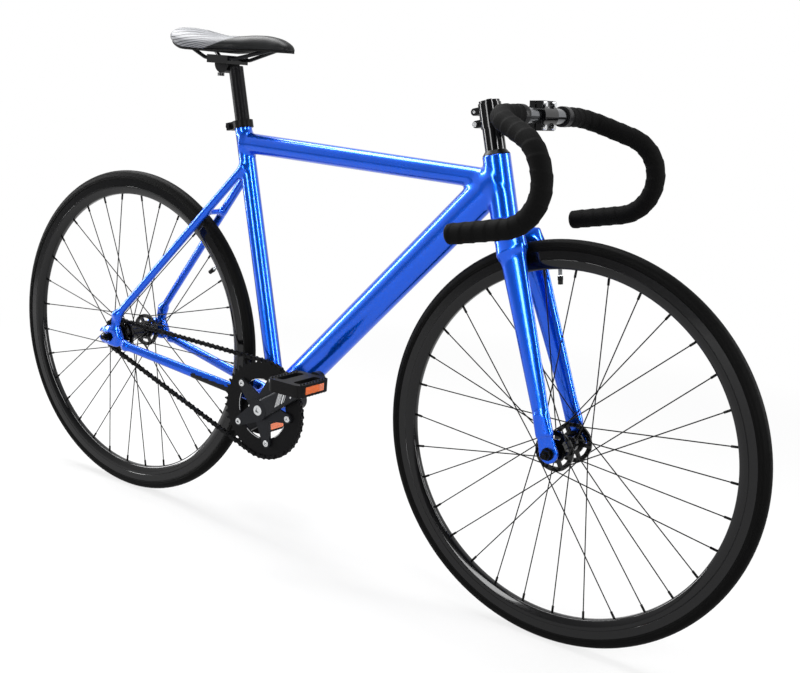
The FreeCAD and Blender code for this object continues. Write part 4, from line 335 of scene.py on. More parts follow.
# %% [markdown]
# ## From a distance to a skin
# The coarse start is a few cones. The Remesh modifier turns them into one even net of small squares. Each
# point then steps along the slope of the distance until it lies on the surface, and the net is relaxed
# between steps so that its squares stay even. The slope is also the true normal, so it is kept as the
# mesh's own normals and the lacquer reflects without ripples.

# %% Build a skin from a distance function
PROBE = 0.05 * MM
ROUNDS = 6
ROUGH_SIDES = 24


def slope_of(gap, points):
    """Direction in which a distance grows fastest."""
    rises = [gap(points + step) - gap(points - step) for step in PROBE * numpy.eye(3)]
    return unit(numpy.stack(rises, axis=1))


def meshed(name, net):
    """Mesh of a net, which is used up."""
    mesh = bpy.data.meshes.new(name)
    net.to_mesh(mesh)
    net.free()
    return mesh


def remeshed(name, start, size):
    """Even closed skin around a rough start, as an object."""
    rough_mesh = meshed(name, start)
    piece = shown(name, rough_mesh)
    net = piece.modifiers.new("net", "REMESH")
    net.mode = "VOXEL"
    net.voxel_size = size * MM
    mesh = bpy.data.meshes.new_from_object(piece.evaluated_get(bpy.context.evaluated_depsgraph_get()))
    piece.modifiers.clear()
    piece.data = mesh
    mesh.name = name
    bpy.data.meshes.remove(rough_mesh)
    return piece


def settle(piece, gap):
    """Moves the points of a skin onto the surface where the distance is zero, and keeps its normals."""
    mesh = piece.data
    net = bmesh.new()
    net.from_mesh(mesh)
    for turn in range(ROUNDS):
        if turn < ROUNDS - 2:
            bmesh.ops.smooth_vert(net, verts=net.verts, factor=0.5, use_axis_x=True, use_axis_y=True,
                                  use_axis_z=True)
        points = numpy.array([vert.co for vert in net.verts])
        points = points - gap(points)[:, None] * slope_of(gap, points)
        for vert, point in zip(net.verts, points):
            vert.co = point
    net.to_mesh(mesh)
    net.free()
    mesh.shade_smooth()
    mesh.normals_split_custom_set_from_vertices(slope_of(gap, points))
    mesh.update()


def taper(net, sides, first, last, depth, place):
    """Adds a closed cone with its two radii and its length in millimetres."""
    bmesh.ops.create_cone(net, cap_ends=True, segments=sides, radius1=first * MM, radius2=last * MM,
                          depth=depth * MM, matrix=place)


def cone(net, start, end, first, last):
    """Closed rough cone between two points, with its half width and half depth at the two ends."""
    axis = Vector(end - start)
    deep = axis.normalized().cross(Vector(SIDE)).normalized()
    wide = deep.cross(axis).normalized()
    turn = Matrix((wide, deep, axis.normalized())).transposed().to_4x4()
    squash = Matrix.Diagonal((first[0] / first[1], 1.0, 1.0, 1.0))
    place = Matrix.Translation((Vector(start) + Vector(end)) / 2) @ turn @ squash
    taper(net, ROUGH_SIDES, first[1], last[1], axis.length / MM, place)


print("skin builder ready")

# %% [markdown]
# ## The blue frame
# Head tube, top tube, down tube, seat tube, bracket shell, stays and track ends become one painted
# weldment, as they are on the real bike. The down tube is a deep oval, the chain stays are ovals that
# narrow to the rear, and the track ends are plates that the stays flow into.

# %% Frame tubes
HEAD_BOTTOM = 377.5
HEAD_TOP = 480.5
STAY_PLANE = 63.5
CHAIN_STAY_END = REAR_AXLE + shift(42.0, STAY_PLANE, -12.0)
SEAT_STAY_END = REAR_AXLE + shift(17.0, STAY_PLANE, 45.0)
LUG_REAR = REAR_AXLE - shift(15.0, 0, 0)
LUG_FRONT = REAR_AXLE + shift(12.0, 0, 0)
LUG_MIDDLE = REAR_AXLE - shift(4.0, 0, 0)
SLOT_FRONT = REAR_AXLE + shift(6.0, 0, 0)
SLOT_REAR = REAR_AXLE - shift(60.0, 0, 0)
SLOT_RADIUS = 5.15
TRACK_INNER = 60.0
TRACK_OUTER = 67.0
# Two ends of each band that makes up a track end, with its radius at both.
TRACK_BANDS = [
    (LUG_REAR, LUG_FRONT, 17.0, 17.0),
    (LUG_FRONT, CHAIN_STAY_END, 15.0, 8.0),
    (LUG_FRONT, SEAT_STAY_END, 13.0, 7.0),
    (LUG_MIDDLE, SEAT_STAY_END, 12.0, 7.0),
]
EDGE = 1.5 * MM

# Start, end, and half width and half depth at both, of each tube.
SINGLE_TUBES = [
    (steer(HEAD_BOTTOM), steer(HEAD_TOP), (23.0, 23.0), (23.0, 23.0)),
    (seat(500.0), steer(438.5), (19.0, 19.0), (17.0, 17.0)),
    (BRACKET + shift(0, 0, 9.5), steer(443.5), (22.0, 29.5), (22.0, 29.5)),
    (seat(0.0), seat(539.0), (15.9, 15.9), (15.9, 15.9)),
]
SHELL_RADIUS = 20.0
SHELL_HALF = 34.0
STAYS = [
    (BRACKET + shift(0, 19.0, 5.0), CHAIN_STAY_END, (8.0, 12.0), (7.5, 8.5)),
    (seat(456.0, 0, 9.5), SEAT_STAY_END, (8.2, 8.2), (7.2, 7.2)),
]
BRIDGE_RADIUS = 5.0
BRIDGE_HALF = 24.0
MIRROR = numpy.array((1.0, -1.0, 1.0))
print(len(SINGLE_TUBES), "single tubes and", 2 * len(STAYS), "stays")

# %% [markdown]
# A cross tube joins each pair of stays just ahead of the tyre. Its place is read from the CAD stays, where
# it is the only part of them that crosses the middle plane.

# %% Stay bridges
FLAT = numpy.array((1.0, 0.0, 1.0))


def bridge_place(node):
    """Centre of the part of a stay node that lies in the middle plane."""
    across = [vert.co for vert in frame["nodes"][node].data.vertices]
    ends = [edge.vertices for edge in frame["nodes"][node].data.edges]
    crossing = [(across[a] + across[b]) / 2 for a, b in ends if across[a].y * across[b].y < 0]
    return numpy.array(sum(crossing, Vector()) / len(crossing))


BRIDGES = [bridge_place(node) * FLAT for node in ("chain_stays", "seat_stays")]
print("bridges at", BRIDGES)

# %% [markdown]
# The bracket shell and the bridges lie across the bike, so their distance is measured from a line along
# the side axis. The slot for the axle is taken out last with a plain maximum, which keeps its edge crisp.

# %% Frame weldment
WELD = 9.0 * MM
PLATE_WELD = 12.0 * MM
FRAME_NET = 2.3
# Centre, radius and half length of each bar.
CROSS_BARS = [(BRACKET, SHELL_RADIUS, SHELL_HALF)]
CROSS_BARS += [(point, BRIDGE_RADIUS, BRIDGE_HALF) for point in BRIDGES]
CAD_MERGE = 0.002 * MM
ACROSS = Matrix.Rotation(math.pi / 2, 4, "X")


def cross_gap(points, centre, radius, half):
    """Distance to a round bar across the bike."""
    offset = points - centre
    around = numpy.hypot(offset[:, 0], offset[:, 2]) - radius * MM + EDGE
    return rounded(around, numpy.abs(offset[:, 1]) - half * MM + EDGE, EDGE)


def right_folded(points):
    """Points of the right half turned over to the left, since both halves are alike."""
    return points * numpy.sign(points[:, 1:2]) ** numpy.array((0, 1, 0))


def frame_gap(points):
    """Distance to the frame's skin."""
    stays = [tube_gap(right_folded(points), *tube, EDGE) for tube in STAYS]
    bands = [plate_gap(points, *band, TRACK_INNER, TRACK_OUTER, EDGE) for band in TRACK_BANDS]
    rear = melt(stays + [melt(bands, PLATE_WELD)], PLATE_WELD)
    bars = [cross_gap(points, *bar) for bar in CROSS_BARS]
    tubes = [tube_gap(points, *tube, EDGE) for tube in SINGLE_TUBES]
    whole = melt(tubes + bars + [rear], WELD)
    return numpy.maximum(whole, -flat_gap(points, SLOT_REAR, SLOT_FRONT, SLOT_RADIUS, SLOT_RADIUS))


def cad_copy(node):
    """Net of a CAD node with the corners of its loose triangles merged."""
    net = bmesh.new()
    net.from_mesh(frame["nodes"][node].data)
    bmesh.ops.remove_doubles(net, verts=net.verts, dist=CAD_MERGE)
    return net


def rod(net, centre, radius, depth):
    """Adds a rough round bar across the bike."""
    taper(net, ROUGH_SIDES, radius, radius, depth, Matrix.Translation(centre) @ ACROSS)


start = cad_copy("track_ends")
for tube in SINGLE_TUBES:
    cone(start, *tube)
for tube in STAYS:
    for sign in (numpy.ones(3), MIRROR):
        cone(start, tube[0] * sign, tube[1] * sign, *tube[2:])
for centre, radius, half in CROSS_BARS:
    rod(start, centre, radius, 2 * half)
painted_frame = remeshed("painted_frame", start, FRAME_NET)
settle(painted_frame, frame_gap)
print("frame skin", len(painted_frame.data.polygons), "faces")

# %% [markdown]
# Every piece gets its finish, the body it rides on, and the CAD nodes that it stands for, which are hidden.
# The record's finish slot is passed along too but not used. One function does all of it, so no piece is
# forgotten.

# %% Put the frame on its body


def fit(piece, finish, body, slot, *nodes):
    """Gives a piece its finish and its body, and hides the CAD nodes that it stands for; the slot is not
    used.
    """
    piece.data.materials.clear()
    piece.data.materials.append(FINISHES[finish])
    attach(piece, body)
    if nodes:
        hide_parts(*nodes)


fit(painted_frame, "blue_metallic_lacquer", "frame_body", "blue_paint", "head_tube", "top_tube", "down_tube",
    "seat_tube", "bottom_bracket_shell", "chain_stays", "seat_stays", "track_ends")
print("painted frame placed")

# %% [markdown]
# ## The blue fork
# The crown is a round boss under the head tube that splits into two deep blades with rounded shoulders.
# The blades narrow down to flat tips round the front axle. The same blending gives the shoulders.

# %% Fork weldment
CROWN_TOP = 374.0
BLADE_TOP = 344.0
FORK_WELD = 18.0 * MM
FORK_NET = 2.0
TIP_INNER = 50.0
TIP_OUTER = 57.0
TIP_RADIUS = 16.0
TONGUE_RADIUS = 10.0
CROWN_BOSS = (steer(CROWN_TOP), steer(BLADE_TOP, 6.0), (21.0, 21.0), (23.0, 23.0))
SHOULDER = (steer(366.0, 8.0, 6.0), steer(322.0, 22.5, 31.0), (13.0, 21.0), (10.5, 23.5))
BLADE = (steer(352.0, 20.0, 29.2), steer(30.0, 49.0, 53.0), (10.5, 24.0), (7.0, 13.5))
BLADE_FOOT = steer(55.0, 47.0)
FOOT_SIDE = 53.0


def fork_gap(points):
    """Distance to the fork's skin."""
    folded = right_folded(points)
    blade = melt([tube_gap(folded, *SHOULDER, EDGE), tube_gap(folded, *BLADE, EDGE)], FORK_WELD)
    tip = plate_gap(points, BLADE_FOOT, FRONT_AXLE, TONGUE_RADIUS, TIP_RADIUS, TIP_INNER, TIP_OUTER, EDGE)
    return melt([tube_gap(points, *CROWN_BOSS, EDGE), melt([blade, tip], WELD)], FORK_WELD)


start = bmesh.new()
cone(start, *CROWN_BOSS)
for sign in (numpy.ones(3), MIRROR):
    for tube in (SHOULDER, BLADE):
        cone(start, tube[0] * sign, tube[1] * sign, *tube[2:])
    centre = FRONT_AXLE + shift(0, (TIP_INNER + TIP_OUTER) / 2, 0)
    cone(start, (BLADE_FOOT + shift(0, FOOT_SIDE, 0)) * sign, centre * sign, (3.5, 12.0), (3.5, TIP_RADIUS))
    rod(start, centre * sign, TIP_RADIUS, TIP_OUTER - TIP_INNER)
painted_fork = remeshed("painted_fork", start, FORK_NET)
settle(painted_fork, fork_gap)
fit(painted_fork, "blue_metallic_lacquer", "steering_body", "blue_paint", "fork_crown", "fork_blades")
print("fork skin", len(painted_fork.data.polygons), "faces")

# %% [markdown]
# ## Studio
# A product shot has a white sweep and large soft lights. The world is plain white to the camera and to
# reflections, and dimmer as a light, so colours keep their depth. Only the room behind the photographer is
# dark, which lacquer and gloss black mirror as their deep tones. The floor is white paper: it catches the
# contact shadow near the tyres and fades into the white background farther out.

# %% World, lights and floor
AMBIENT = 0.14
WHITE = "#ffffff"
# How far a direction turns to the camera where the dark side begins, and where it is fully dark.
DARK_SIDE = (0.15, 0.75)
world = bpy.data.worlds.new("white_studio")
bpy.context.scene.world = world
world.use_nodes = True
room = world.node_tree
room.nodes.clear()


def seen(tree):
    """One where a ray comes straight from the camera, from a reflection or through glass."""
    rays = add(tree, "LightPath").outputs
    mirrored = add(tree, "Math", {0: rays["Is Camera Ray"], 1: rays["Is Glossy Ray"]}, operation="MAXIMUM")
    return add(tree, "Math", {0: mirrored, 1: rays["Is Transmission Ray"]}, operation="MAXIMUM")


outward = add(room, "TexCoord").outputs["Generated"]
facing = add(room, "VectorMath", {0: outward, 1: LOOK_BACK}, operation="DOT_PRODUCT")
unlit = add(room, "MapRange", {"Value": facing, "From Min": DARK_SIDE[0], "From Max": DARK_SIDE[1]})
glossy = add(room, "LightPath").outputs["Is Glossy Ray"]
dark_room = add(room, "Math", {0: unlit, 1: glossy}, operation="MULTIPLY")
white_share = add(room, "Math", {0: seen(room), 1: dark_room}, operation="SUBTRACT", use_clamp=True)
strength = add(room, "MapRange", {"Value": white_share, "To Min": AMBIENT, "To Max": 1.0})
sky = add(room, "Background", {"Color": WHITE, "Strength": strength})
add(room, "OutputWorld", {"Surface": sky})

# Name, place and size in metres, and power in watts of each light.
SOFTBOXES = [
    ("overhead_softbox", (-0.9, 0.1, 2.4), (0.9, 2.6), 125.0),
    ("right_strip", (-0.1, -2.8, 1.2), (0.55, 1.8), 56.0),
    ("camera_side_strip", (2.1, -1.2, 1.1), (0.22, 1.8), 44.0),
    ("front_softbox", (2.4, 1.3, 1.4), (0.5, 1.8), 56.0),
    ("rear_softbox", (-2.6, -0.75, 0.9), (0.4, 1.6), 46.0),
]
LIT_POINT = Vector((0.0, 0.0, 0.4))
for name, place, size, power in SOFTBOXES:
    lamp = shown(name, bpy.data.lights.new(name, "AREA"))
    lamp.data.shape = "RECTANGLE"
    lamp.data.size, lamp.data.size_y = size
    lamp.data.energy = power
    lamp.location = place
    lamp.rotation_euler = (LIT_POINT - Vector(place)).to_track_quat("-Z", "Y").to_euler()

FLOOR_SIZE = 14.0
# Distances from the middle between which the paper's own glow takes over.
FADE = (0.9, 2.2)
NEAR_GLOW = 0.74
MIRRORED_LOSS = 0.8
PAPER_TOOTH = 2.0
net = bmesh.new()
bmesh.ops.create_grid(net, x_segments=2, y_segments=2, size=FLOOR_SIZE)
floor_mesh = meshed("paper_sweep", net)
paper_sweep = shown("paper_sweep", floor_mesh)

# White paper: no gloss, a faint tooth.
tree, shader, place = blank("white_sweep_paper", Roughness=0.95, Specular_IOR_Level=0.0)
tooth = add(tree, "TexNoise", {"Vector": place, "Scale": per_mm(PAPER_TOOTH)})
tone = add(tree, "Mix", {0: tooth, MIX_A: "#bdbdbd", MIX_B: "#c4c4c4"}, data_type="RGBA")
link(tree, shader, {"Base Color": tone})
far = add(tree, "VectorMath", {0: place}, operation="LENGTH")
fading = {"Value": far, "From Min": FADE[0], "From Max": FADE[1]}
fade = add(tree, "MapRange", {**fading, "To Min": NEAR_GLOW, "To Max": 1.0})
loss = add(tree, "MapRange", {**fading, "To Min": 0.0, "To Max": MIRRORED_LOSS})
glossy = add(tree, "LightPath").outputs["Is Glossy Ray"]
dulled = add(tree, "Math", {0: loss, 1: glossy}, operation="MULTIPLY")
glowing = add(tree, "Math", {0: fade, 1: dulled}, operation="SUBTRACT", use_clamp=True)
lit = add(tree, "Math", {0: seen(tree), 1: glowing}, operation="MULTIPLY")
glow = add(tree, "Emission", {"Color": WHITE, "Strength": 1.0})
both = add(tree, "MixShader", {0: lit, 1: shader, 2: glow})
output = next(made for made in tree.nodes if made.type == "OUTPUT_MATERIAL")
link(tree, output, {"Surface": both})
floor_mesh.materials.append(FINISHES["white_sweep_paper"])
print(len(SOFTBOXES), "soft lights")

# %% [markdown]
# ## Tyres
# A road tyre is a rubber shell moulded in halves: a slick crown, a faint step where the tread ends, and
# fine rings on the sidewall. All of it is the same all the way round, so a half section is turned round
# the axle with the spin operator. The rings are a change of radius in the section, not a bump, so they
# hold from close by.

# %% Turn a section round an axle
SAME_PLACE = 0.001 * MM
SHARP_ANGLE = math.radians(34.0)


def turn_into(net, section, centre, axis, out, steps):
    """Adds a closed shape turned from points (distance from the axis, distance along it) in millimetres."""
    places = [centre + (out * radius + axis * along) * MM for radius, along in section]
    corners = [net.verts.new(Vector(place)) for place in places]
    rim = [net.edges.new(pair) for pair in zip(corners, corners[1:])]
    if section[0] != section[-1] and section[0][0] > 0:
        rim.append(net.edges.new((corners[-1], corners[0])))
    bmesh.ops.spin(net, geom=corners + rim, cent=Vector(centre), axis=Vector(axis), angle=2 * math.pi,
                   steps=steps, use_merge=True)


def finished(name, net):
    """Object of a net: corners merged, normals outward, smooth but for its sharp edges."""
    bmesh.ops.remove_doubles(net, verts=net.verts, dist=SAME_PLACE)
    bmesh.ops.recalc_face_normals(net, faces=net.faces)
    mesh = meshed(name, net)
    mesh.shade_smooth()
    mesh.set_sharp_from_angle(angle=SHARP_ANGLE)
    return shown(name, mesh)


def turned(name, section, centre, axis, out, steps):
    """One turned piece."""
    net = bmesh.new()
    turn_into(net, section, centre, axis, out, steps)
    return finished(name, net)


UP = numpy.array((0.0, 0.0, 1.0))
TYRE_MIDDLE = 322.5
TYRE_RADIUS = 12.5
BEAD_ANGLE = 116
TREAD_ANGLE = 54
TREAD_STEP = 0.35
RING_ANGLES = (84, 90, 104)
RING_HEIGHT = 0.3
BEAD_SEAT = [(312.5, 9.0), (312.5, -9.0)]


def tyre_section():
    """Points of the tyre's outside from bead to bead, then through the rim's well."""
    points = []
    for angle in range(-BEAD_ANGLE, BEAD_ANGLE + 1, 2):
        radius = TYRE_RADIUS
        radius -= TREAD_STEP if abs(angle) > TREAD_ANGLE else 0
        radius += RING_HEIGHT if abs(angle) in RING_ANGLES else 0
        turn = math.radians(angle)
        points.append((TYRE_MIDDLE + radius * math.cos(turn), radius * math.sin(turn)))
    return points + BEAD_SEAT


WHEELS = (("front", FRONT_AXLE), ("rear", REAR_AXLE))
WHEEL_STEPS = 180
tyres = {}
for end, axle in WHEELS:
    tyres[end] = turned(end + "_moulded_tyre", tyre_section(), axle, SIDE, UP, WHEEL_STEPS)
print("tyres of", len(tyre_section()), "points turned in", WHEEL_STEPS, "steps")

# %% [markdown]
# Tyre rubber is black from soot and dull from a thin bloom of wax. The crown has a fine moulded file
# pattern that gives the slick surface its soft grey look. The pattern is masked by the distance from the
# axle, which is worked out from Object coordinates, so one recipe serves both wheels with its own centre.

# %% Tyre rubber
FILE_PATTERN = 1.6
FILE_RELIEF = 0.15
# Heights over the tyre's middle between which the pattern begins.
CROWN_HEIGHTS = (8.0, 10.0)


def tyre_rubber(name, axle):
    """Slick tyre rubber with a file pattern on the crown, centred on an axle."""
    tree, shader, place = grained(name, ("#020202", "#050505"), 3.0, (0.46, 0.60), 0.02,
                                  Specular_IOR_Level=0.04)
    centred = add(tree, "VectorMath", {0: place, 1: Vector(axle)}, operation="SUBTRACT")
    flat = add(tree, "VectorMath", {0: centred, 1: Vector(FLAT)}, operation="MULTIPLY")
    reach = add(tree, "VectorMath", {0: flat}, operation="LENGTH")
    low, high = [(TYRE_MIDDLE + height) * MM for height in CROWN_HEIGHTS]
    crown = add(tree, "MapRange", {"Value": reach, "From Min": low, "From Max": high})
    file_cut = add(tree, "TexVoronoi", {"Vector": place, "Scale": per_mm(FILE_PATTERN)})
    masked = add(tree, "Math", {0: file_cut, 1: crown}, operation="MULTIPLY")
    grain = shader.inputs["Normal"].links[0].from_socket
    relief = add(tree, "Bump", {"Height": masked, "Distance": FILE_RELIEF * MM, "Normal": grain})
    link(tree, shader, {"Normal": relief})


for end, axle in WHEELS:
    tyre_rubber(end + "_tyre_rubber", axle)
    fit(tyres[end], end + "_tyre_rubber", end + "_wheel_body", "tyre", end + "_tyre")
print("file pattern of", FILE_PATTERN, "mm on the crowns")

# %% [markdown]
# ## Rims
# The rims are deep hollow extrusions, rolled into a hoop and anodised black. Seen from the side they have
# a flat band under the tyre, a fine turned groove, and flanks that curve in to a narrow nose where the
# nipples sit. The section is turned like the tyre's.

# %% Rim extrusions
RIM_EDGE = 317.0
RIM_HALF = 11.0
RIM_SHOULDER = 303.0
RIM_NOSE = 287.0
RIM_NOSE_HALF = 5.5
RIM_GROOVE = 0.5
RIM_WELL = [(RIM_EDGE, -9.3), (313.0, -9.0), (311.0, -7.0)]


def rim_flank():
    """Points of one flank from the tyre's edge down to the nose."""
    points = [(RIM_EDGE - 0.2, 9.6), (RIM_EDGE + 0.3, 10.3), (RIM_EDGE - 0.2, RIM_HALF)]
    points += [(RIM_SHOULDER + 1.2, RIM_HALF), (RIM_SHOULDER + 0.7, RIM_HALF - RIM_GROOVE),
               (RIM_SHOULDER + 0.2, RIM_HALF - RIM_GROOVE), (RIM_SHOULDER - 0.3, RIM_HALF)]
    for share in (0.2, 0.4, 0.6, 0.8, 0.92):
        drop = (RIM_SHOULDER - RIM_NOSE) * share
        points.append((RIM_SHOULDER - drop, RIM_HALF - (RIM_HALF - RIM_NOSE_HALF) * share ** 1.8))
    return points + [(RIM_NOSE + 0.4, RIM_NOSE_HALF - 0.8), (RIM_NOSE, RIM_NOSE_HALF - 2.0)]


def rim_section():
    """Points of both flanks and of the well under the tyre."""
    flank = rim_flank()
    other = [(radius, -along) for radius, along in reversed(flank)]
    return flank + other + RIM_WELL + [(radius, -along) for radius, along in reversed(RIM_WELL)]


for end, axle in WHEELS:
    hoop = turned(end + "_rim_hoop", rim_section(), axle, SIDE, UP, WHEEL_STEPS)
    fit(hoop, "gloss_black_anodised_aluminium", end + "_wheel_body", "black_alloy", end + "_rim")
print("rims with", len(rim_section()), "points in their section")

# %% [markdown]
# ## Valves
# Each inner tube has a metal valve stem with a black dust cap that points to the hub. The CAD tube shows
# where it is: its points nearest the axle. The stem's thread and the cap's grip are turned from sections.

# %% Valve stems and caps
STEM_RADIUS = 3.4
STEM_THREADS = 9
STEM_IN_RIM = 2.0
THREAD_ROOT = 3.05
THREAD_PITCH = 1.2
NEAR_BAND = 2.0


def nearest_direction(node, axle):
    """Direction from an axle to the points of a node that lie nearest to it, in the wheel's plane."""
    points = numpy.array([vert.co for vert in frame["nodes"][node].data.vertices]) - axle
    points[:, 1] = 0
    reach = numpy.linalg.norm(points, axis=1)
    near = points[reach < reach.min() + NEAR_BAND * MM].mean(axis=0)
    return unit(near), reach.min() / MM


def valve_stem(inner, outer):
    """Section of a stem along a radius: a threaded shaft that starts inside the rim."""
    points = [(0.0, outer), (STEM_RADIUS, outer)]
    for turn in range(STEM_THREADS):
        along = outer - 1.0 - turn * THREAD_PITCH
        points += [(STEM_RADIUS, along), (THREAD_ROOT, along - THREAD_PITCH / 2)]
    return points + [(STEM_RADIUS, inner), (0.0, inner)]


def valve_cap(inner, outer):
    """Section of a dust cap: a ribbed skirt and a narrower rounded tip."""
    return [(0.0, outer), (4.3, outer), (4.5, outer - 0.6), (4.5, outer - 6.0), (3.9, outer - 6.8),
            (3.3, inner + 2.0), (2.6, inner + 0.5), (1.4, inner), (0.0, inner)]


CAP_LENGTH = 13.4
CAP_OVERLAP = 0.4
VALVE_STEPS = 20
for end, axle in WHEELS:
    out, tip = nearest_direction(end + "_inner_tube", axle)
    tip = tip - CAP_OVERLAP
    section = valve_stem(tip + CAP_LENGTH, RIM_NOSE + STEM_IN_RIM)
    stem_piece = turned(end + "_valve_stem", section, axle, out, SIDE, VALVE_STEPS)
    fit(stem_piece, "ground_bearing_steel", end + "_wheel_body", "bright_bolts")
    cap_piece = turned(end + "_valve_cap", valve_cap(tip, tip + CAP_LENGTH), axle, out, SIDE, VALVE_STEPS)
    fit(cap_piece, "moulded_black_nylon", end + "_wheel_body", "black_plastic")
print("valves point along", out)

# %% [markdown]
# ## The line of the bars
# A drop bar is one tube bent three times on each side. Its centre line is straight runs joined by arcs, and
# the same line carries the tape. Even steps along it make the wraps even too.

# %% Centre line of the left half
# Corners of the left half in millimetres from the middle of the clamp, and the radius of each bend.
BAR_CORNERS = [(0.0, 0.0, 0.0), (0.0, 150.0, 0.0), (108.0, 203.0, -38.0), (129.0, 203.0, -144.0),
               (-25.0, 203.0, -177.0)]
BAR_BENDS = (58.0, 67.0, 67.0)
STEM_MIDDLE = 543.8
STEM_REACH = 92.0
STEM_RISE = math.radians(4.3)
STEM_WAY = shift(math.cos(STEM_RISE), 0, math.sin(STEM_RISE))
BAR_CENTRE = steer(STEM_MIDDLE) + STEM_REACH * STEM_WAY
ARC_POINTS = 24
LINE_STEP = 1.4


def bent_line(corners, bends):
    """Points along straight runs joined by arcs, one row each, in millimetres."""
    line = [numpy.array(corners[0])]
    for before, corner, after, bend in zip(corners, corners[1:], corners[2:], bends):
        corner = Vector(corner)
        back = (Vector(before) - corner).normalized()
        onward = (Vector(after) - corner).normalized()
        turn = math.pi - back.angle(onward)
        reach = bend * math.tan(turn / 2)
        centre = corner + (back + onward).normalized() * (bend / math.cos(turn / 2))
        first = corner + back * reach - centre
        pivot = back.cross(onward).normalized()
        for step in range(ARC_POINTS + 1):
            line.append(numpy.array(centre + Matrix.Rotation(-turn * step / ARC_POINTS, 3, pivot) @ first))
    return numpy.array(line + [numpy.array(corners[-1])])


def even_steps(line, start, step):
    """The same line from a distance along it, at even steps, with the distances."""
    runs = numpy.concatenate(([0], numpy.cumsum(numpy.linalg.norm(numpy.diff(line, axis=0), axis=1))))
    count = int((runs[-1] - start) / step) + 1
    along = numpy.linspace(start, runs[-1], count)
    return along, numpy.stack([numpy.interp(along, runs, line[:, axis]) for axis in range(3)], axis=1)


TAPE_START = 66.0
tape_along, tape_line = even_steps(bent_line(BAR_CORNERS, BAR_BENDS), TAPE_START, LINE_STEP)
print("tape covers", round(tape_along[-1] - TAPE_START), "mm of each half")

# %% [markdown]
# ## Wrapped tape
# Padded tape is wound from the bar's end up to the stem, each turn lapping the one before it. The laps make
# a low spiral ridge with one steep edge. A curve with a round bevel gives the tube, and each ring of it is
# then swelled by a ramp that climbs along one turn and drops at the lap, so the ridge is real geometry.
# A simulation would add nothing here, since the tape is stretched tight.

# %% Wind the tape
TAPE_RADIUS = 15.4
TAPE_LAP = 0.9
TAPE_PITCH = 20.6
LAP_EDGE = 0.18
END_ROUND = 3.0
END_DRAW = 2.2
TAPE_SIDES = 36


def tape_tube(name, line):
    """Round tube along a line, as a mesh with one ring of points per step."""
    curve = bpy.data.curves.new(name, "CURVE")
    curve.dimensions = "3D"
    curve.bevel_depth = TAPE_RADIUS * MM
    curve.bevel_resolution = (TAPE_SIDES - 4) // 2
    curve.use_fill_caps = True
    spline = curve.splines.new("POLY")
    spline.points.add(len(line) - 1)
    for point, place in zip(spline.points, line):
        point.co = (*(BAR_CENTRE + numpy.array(place) * MM), 1.0)
    carrier = bpy.data.objects.new(name, curve)
    mesh = bpy.data.meshes.new_from_object(carrier)
    bpy.data.objects.remove(carrier)
    bpy.data.curves.remove(curve)
    return mesh


def lap_height(turns):
    """Height of the spiral ridge at a number of turns: a slow climb and a short drop."""
    share = turns % 1.0
    return numpy.where(share < 1 - LAP_EDGE, (share / (1 - LAP_EDGE)) ** 1.5, (1 - share) / LAP_EDGE)


def wind(mesh, line, along, hand):
    """Swells a tube's rings into a spiral of laps and rounds its two ends."""
    points = numpy.array([vert.co for vert in mesh.vertices])
    centres = BAR_CENTRE + line * MM
    near = numpy.array([numpy.argmin(((centres - point) ** 2).sum(axis=1)) for point in points])
    ways = unit(numpy.gradient(centres, axis=0))
    first = unit(numpy.cross(ways, numpy.array((1.0, -hand, 1.0))))
    second = numpy.cross(ways, first)
    out = unit(points - centres[near])
    angle = numpy.arctan2((out * second[near]).sum(axis=1), (out * first[near]).sum(axis=1))
    turns = (along[-1] - along[near]) / TAPE_PITCH + hand * angle / (2 * math.pi)
    radius = TAPE_RADIUS + TAPE_LAP * lap_height(turns)
    edge = numpy.minimum(along[near] - along[0], along[-1] - along[near]) / END_ROUND
    radius -= END_DRAW * (1 - numpy.sqrt(1 - (1 - numpy.clip(edge, 0, 1)) ** 2))
    mesh.vertices.foreach_set("co", (centres[near] + out * radius[:, None] * MM).ravel())
    mesh.update()
    mesh.shade_smooth()


# Foam tape with a cork grain: matt black with pale flecks and a soft, spongy relief.
grained("black_foam_tape", ("#020202", "#060606"), 1.2, (0.70, 0.84), 0.08, Specular_IOR_Level=0.05)
HANDS = (("left", 1.0), ("right", -1.0))
for name, hand in HANDS:
    side_line = tape_line * numpy.array((1.0, hand, 1.0))
    wound = tape_tube(name + "_wound_tape", side_line)
    wind(wound, side_line, tape_along, hand)
    piece = shown(name + "_wound_tape", wound)
    fit(piece, "black_foam_tape", "steering_body", "bar_tape", "bar_tape_" + name)
print("tape wound at", TAPE_PITCH, "mm a turn,", len(wound.polygons), "faces a side")

# %% [markdown]
# ## Bar end plugs and finishing bands
# A domed plug tucks the tape into each bar end, and a band of vinyl holds the tape's other end beside the
# stem. Both are turned shapes.

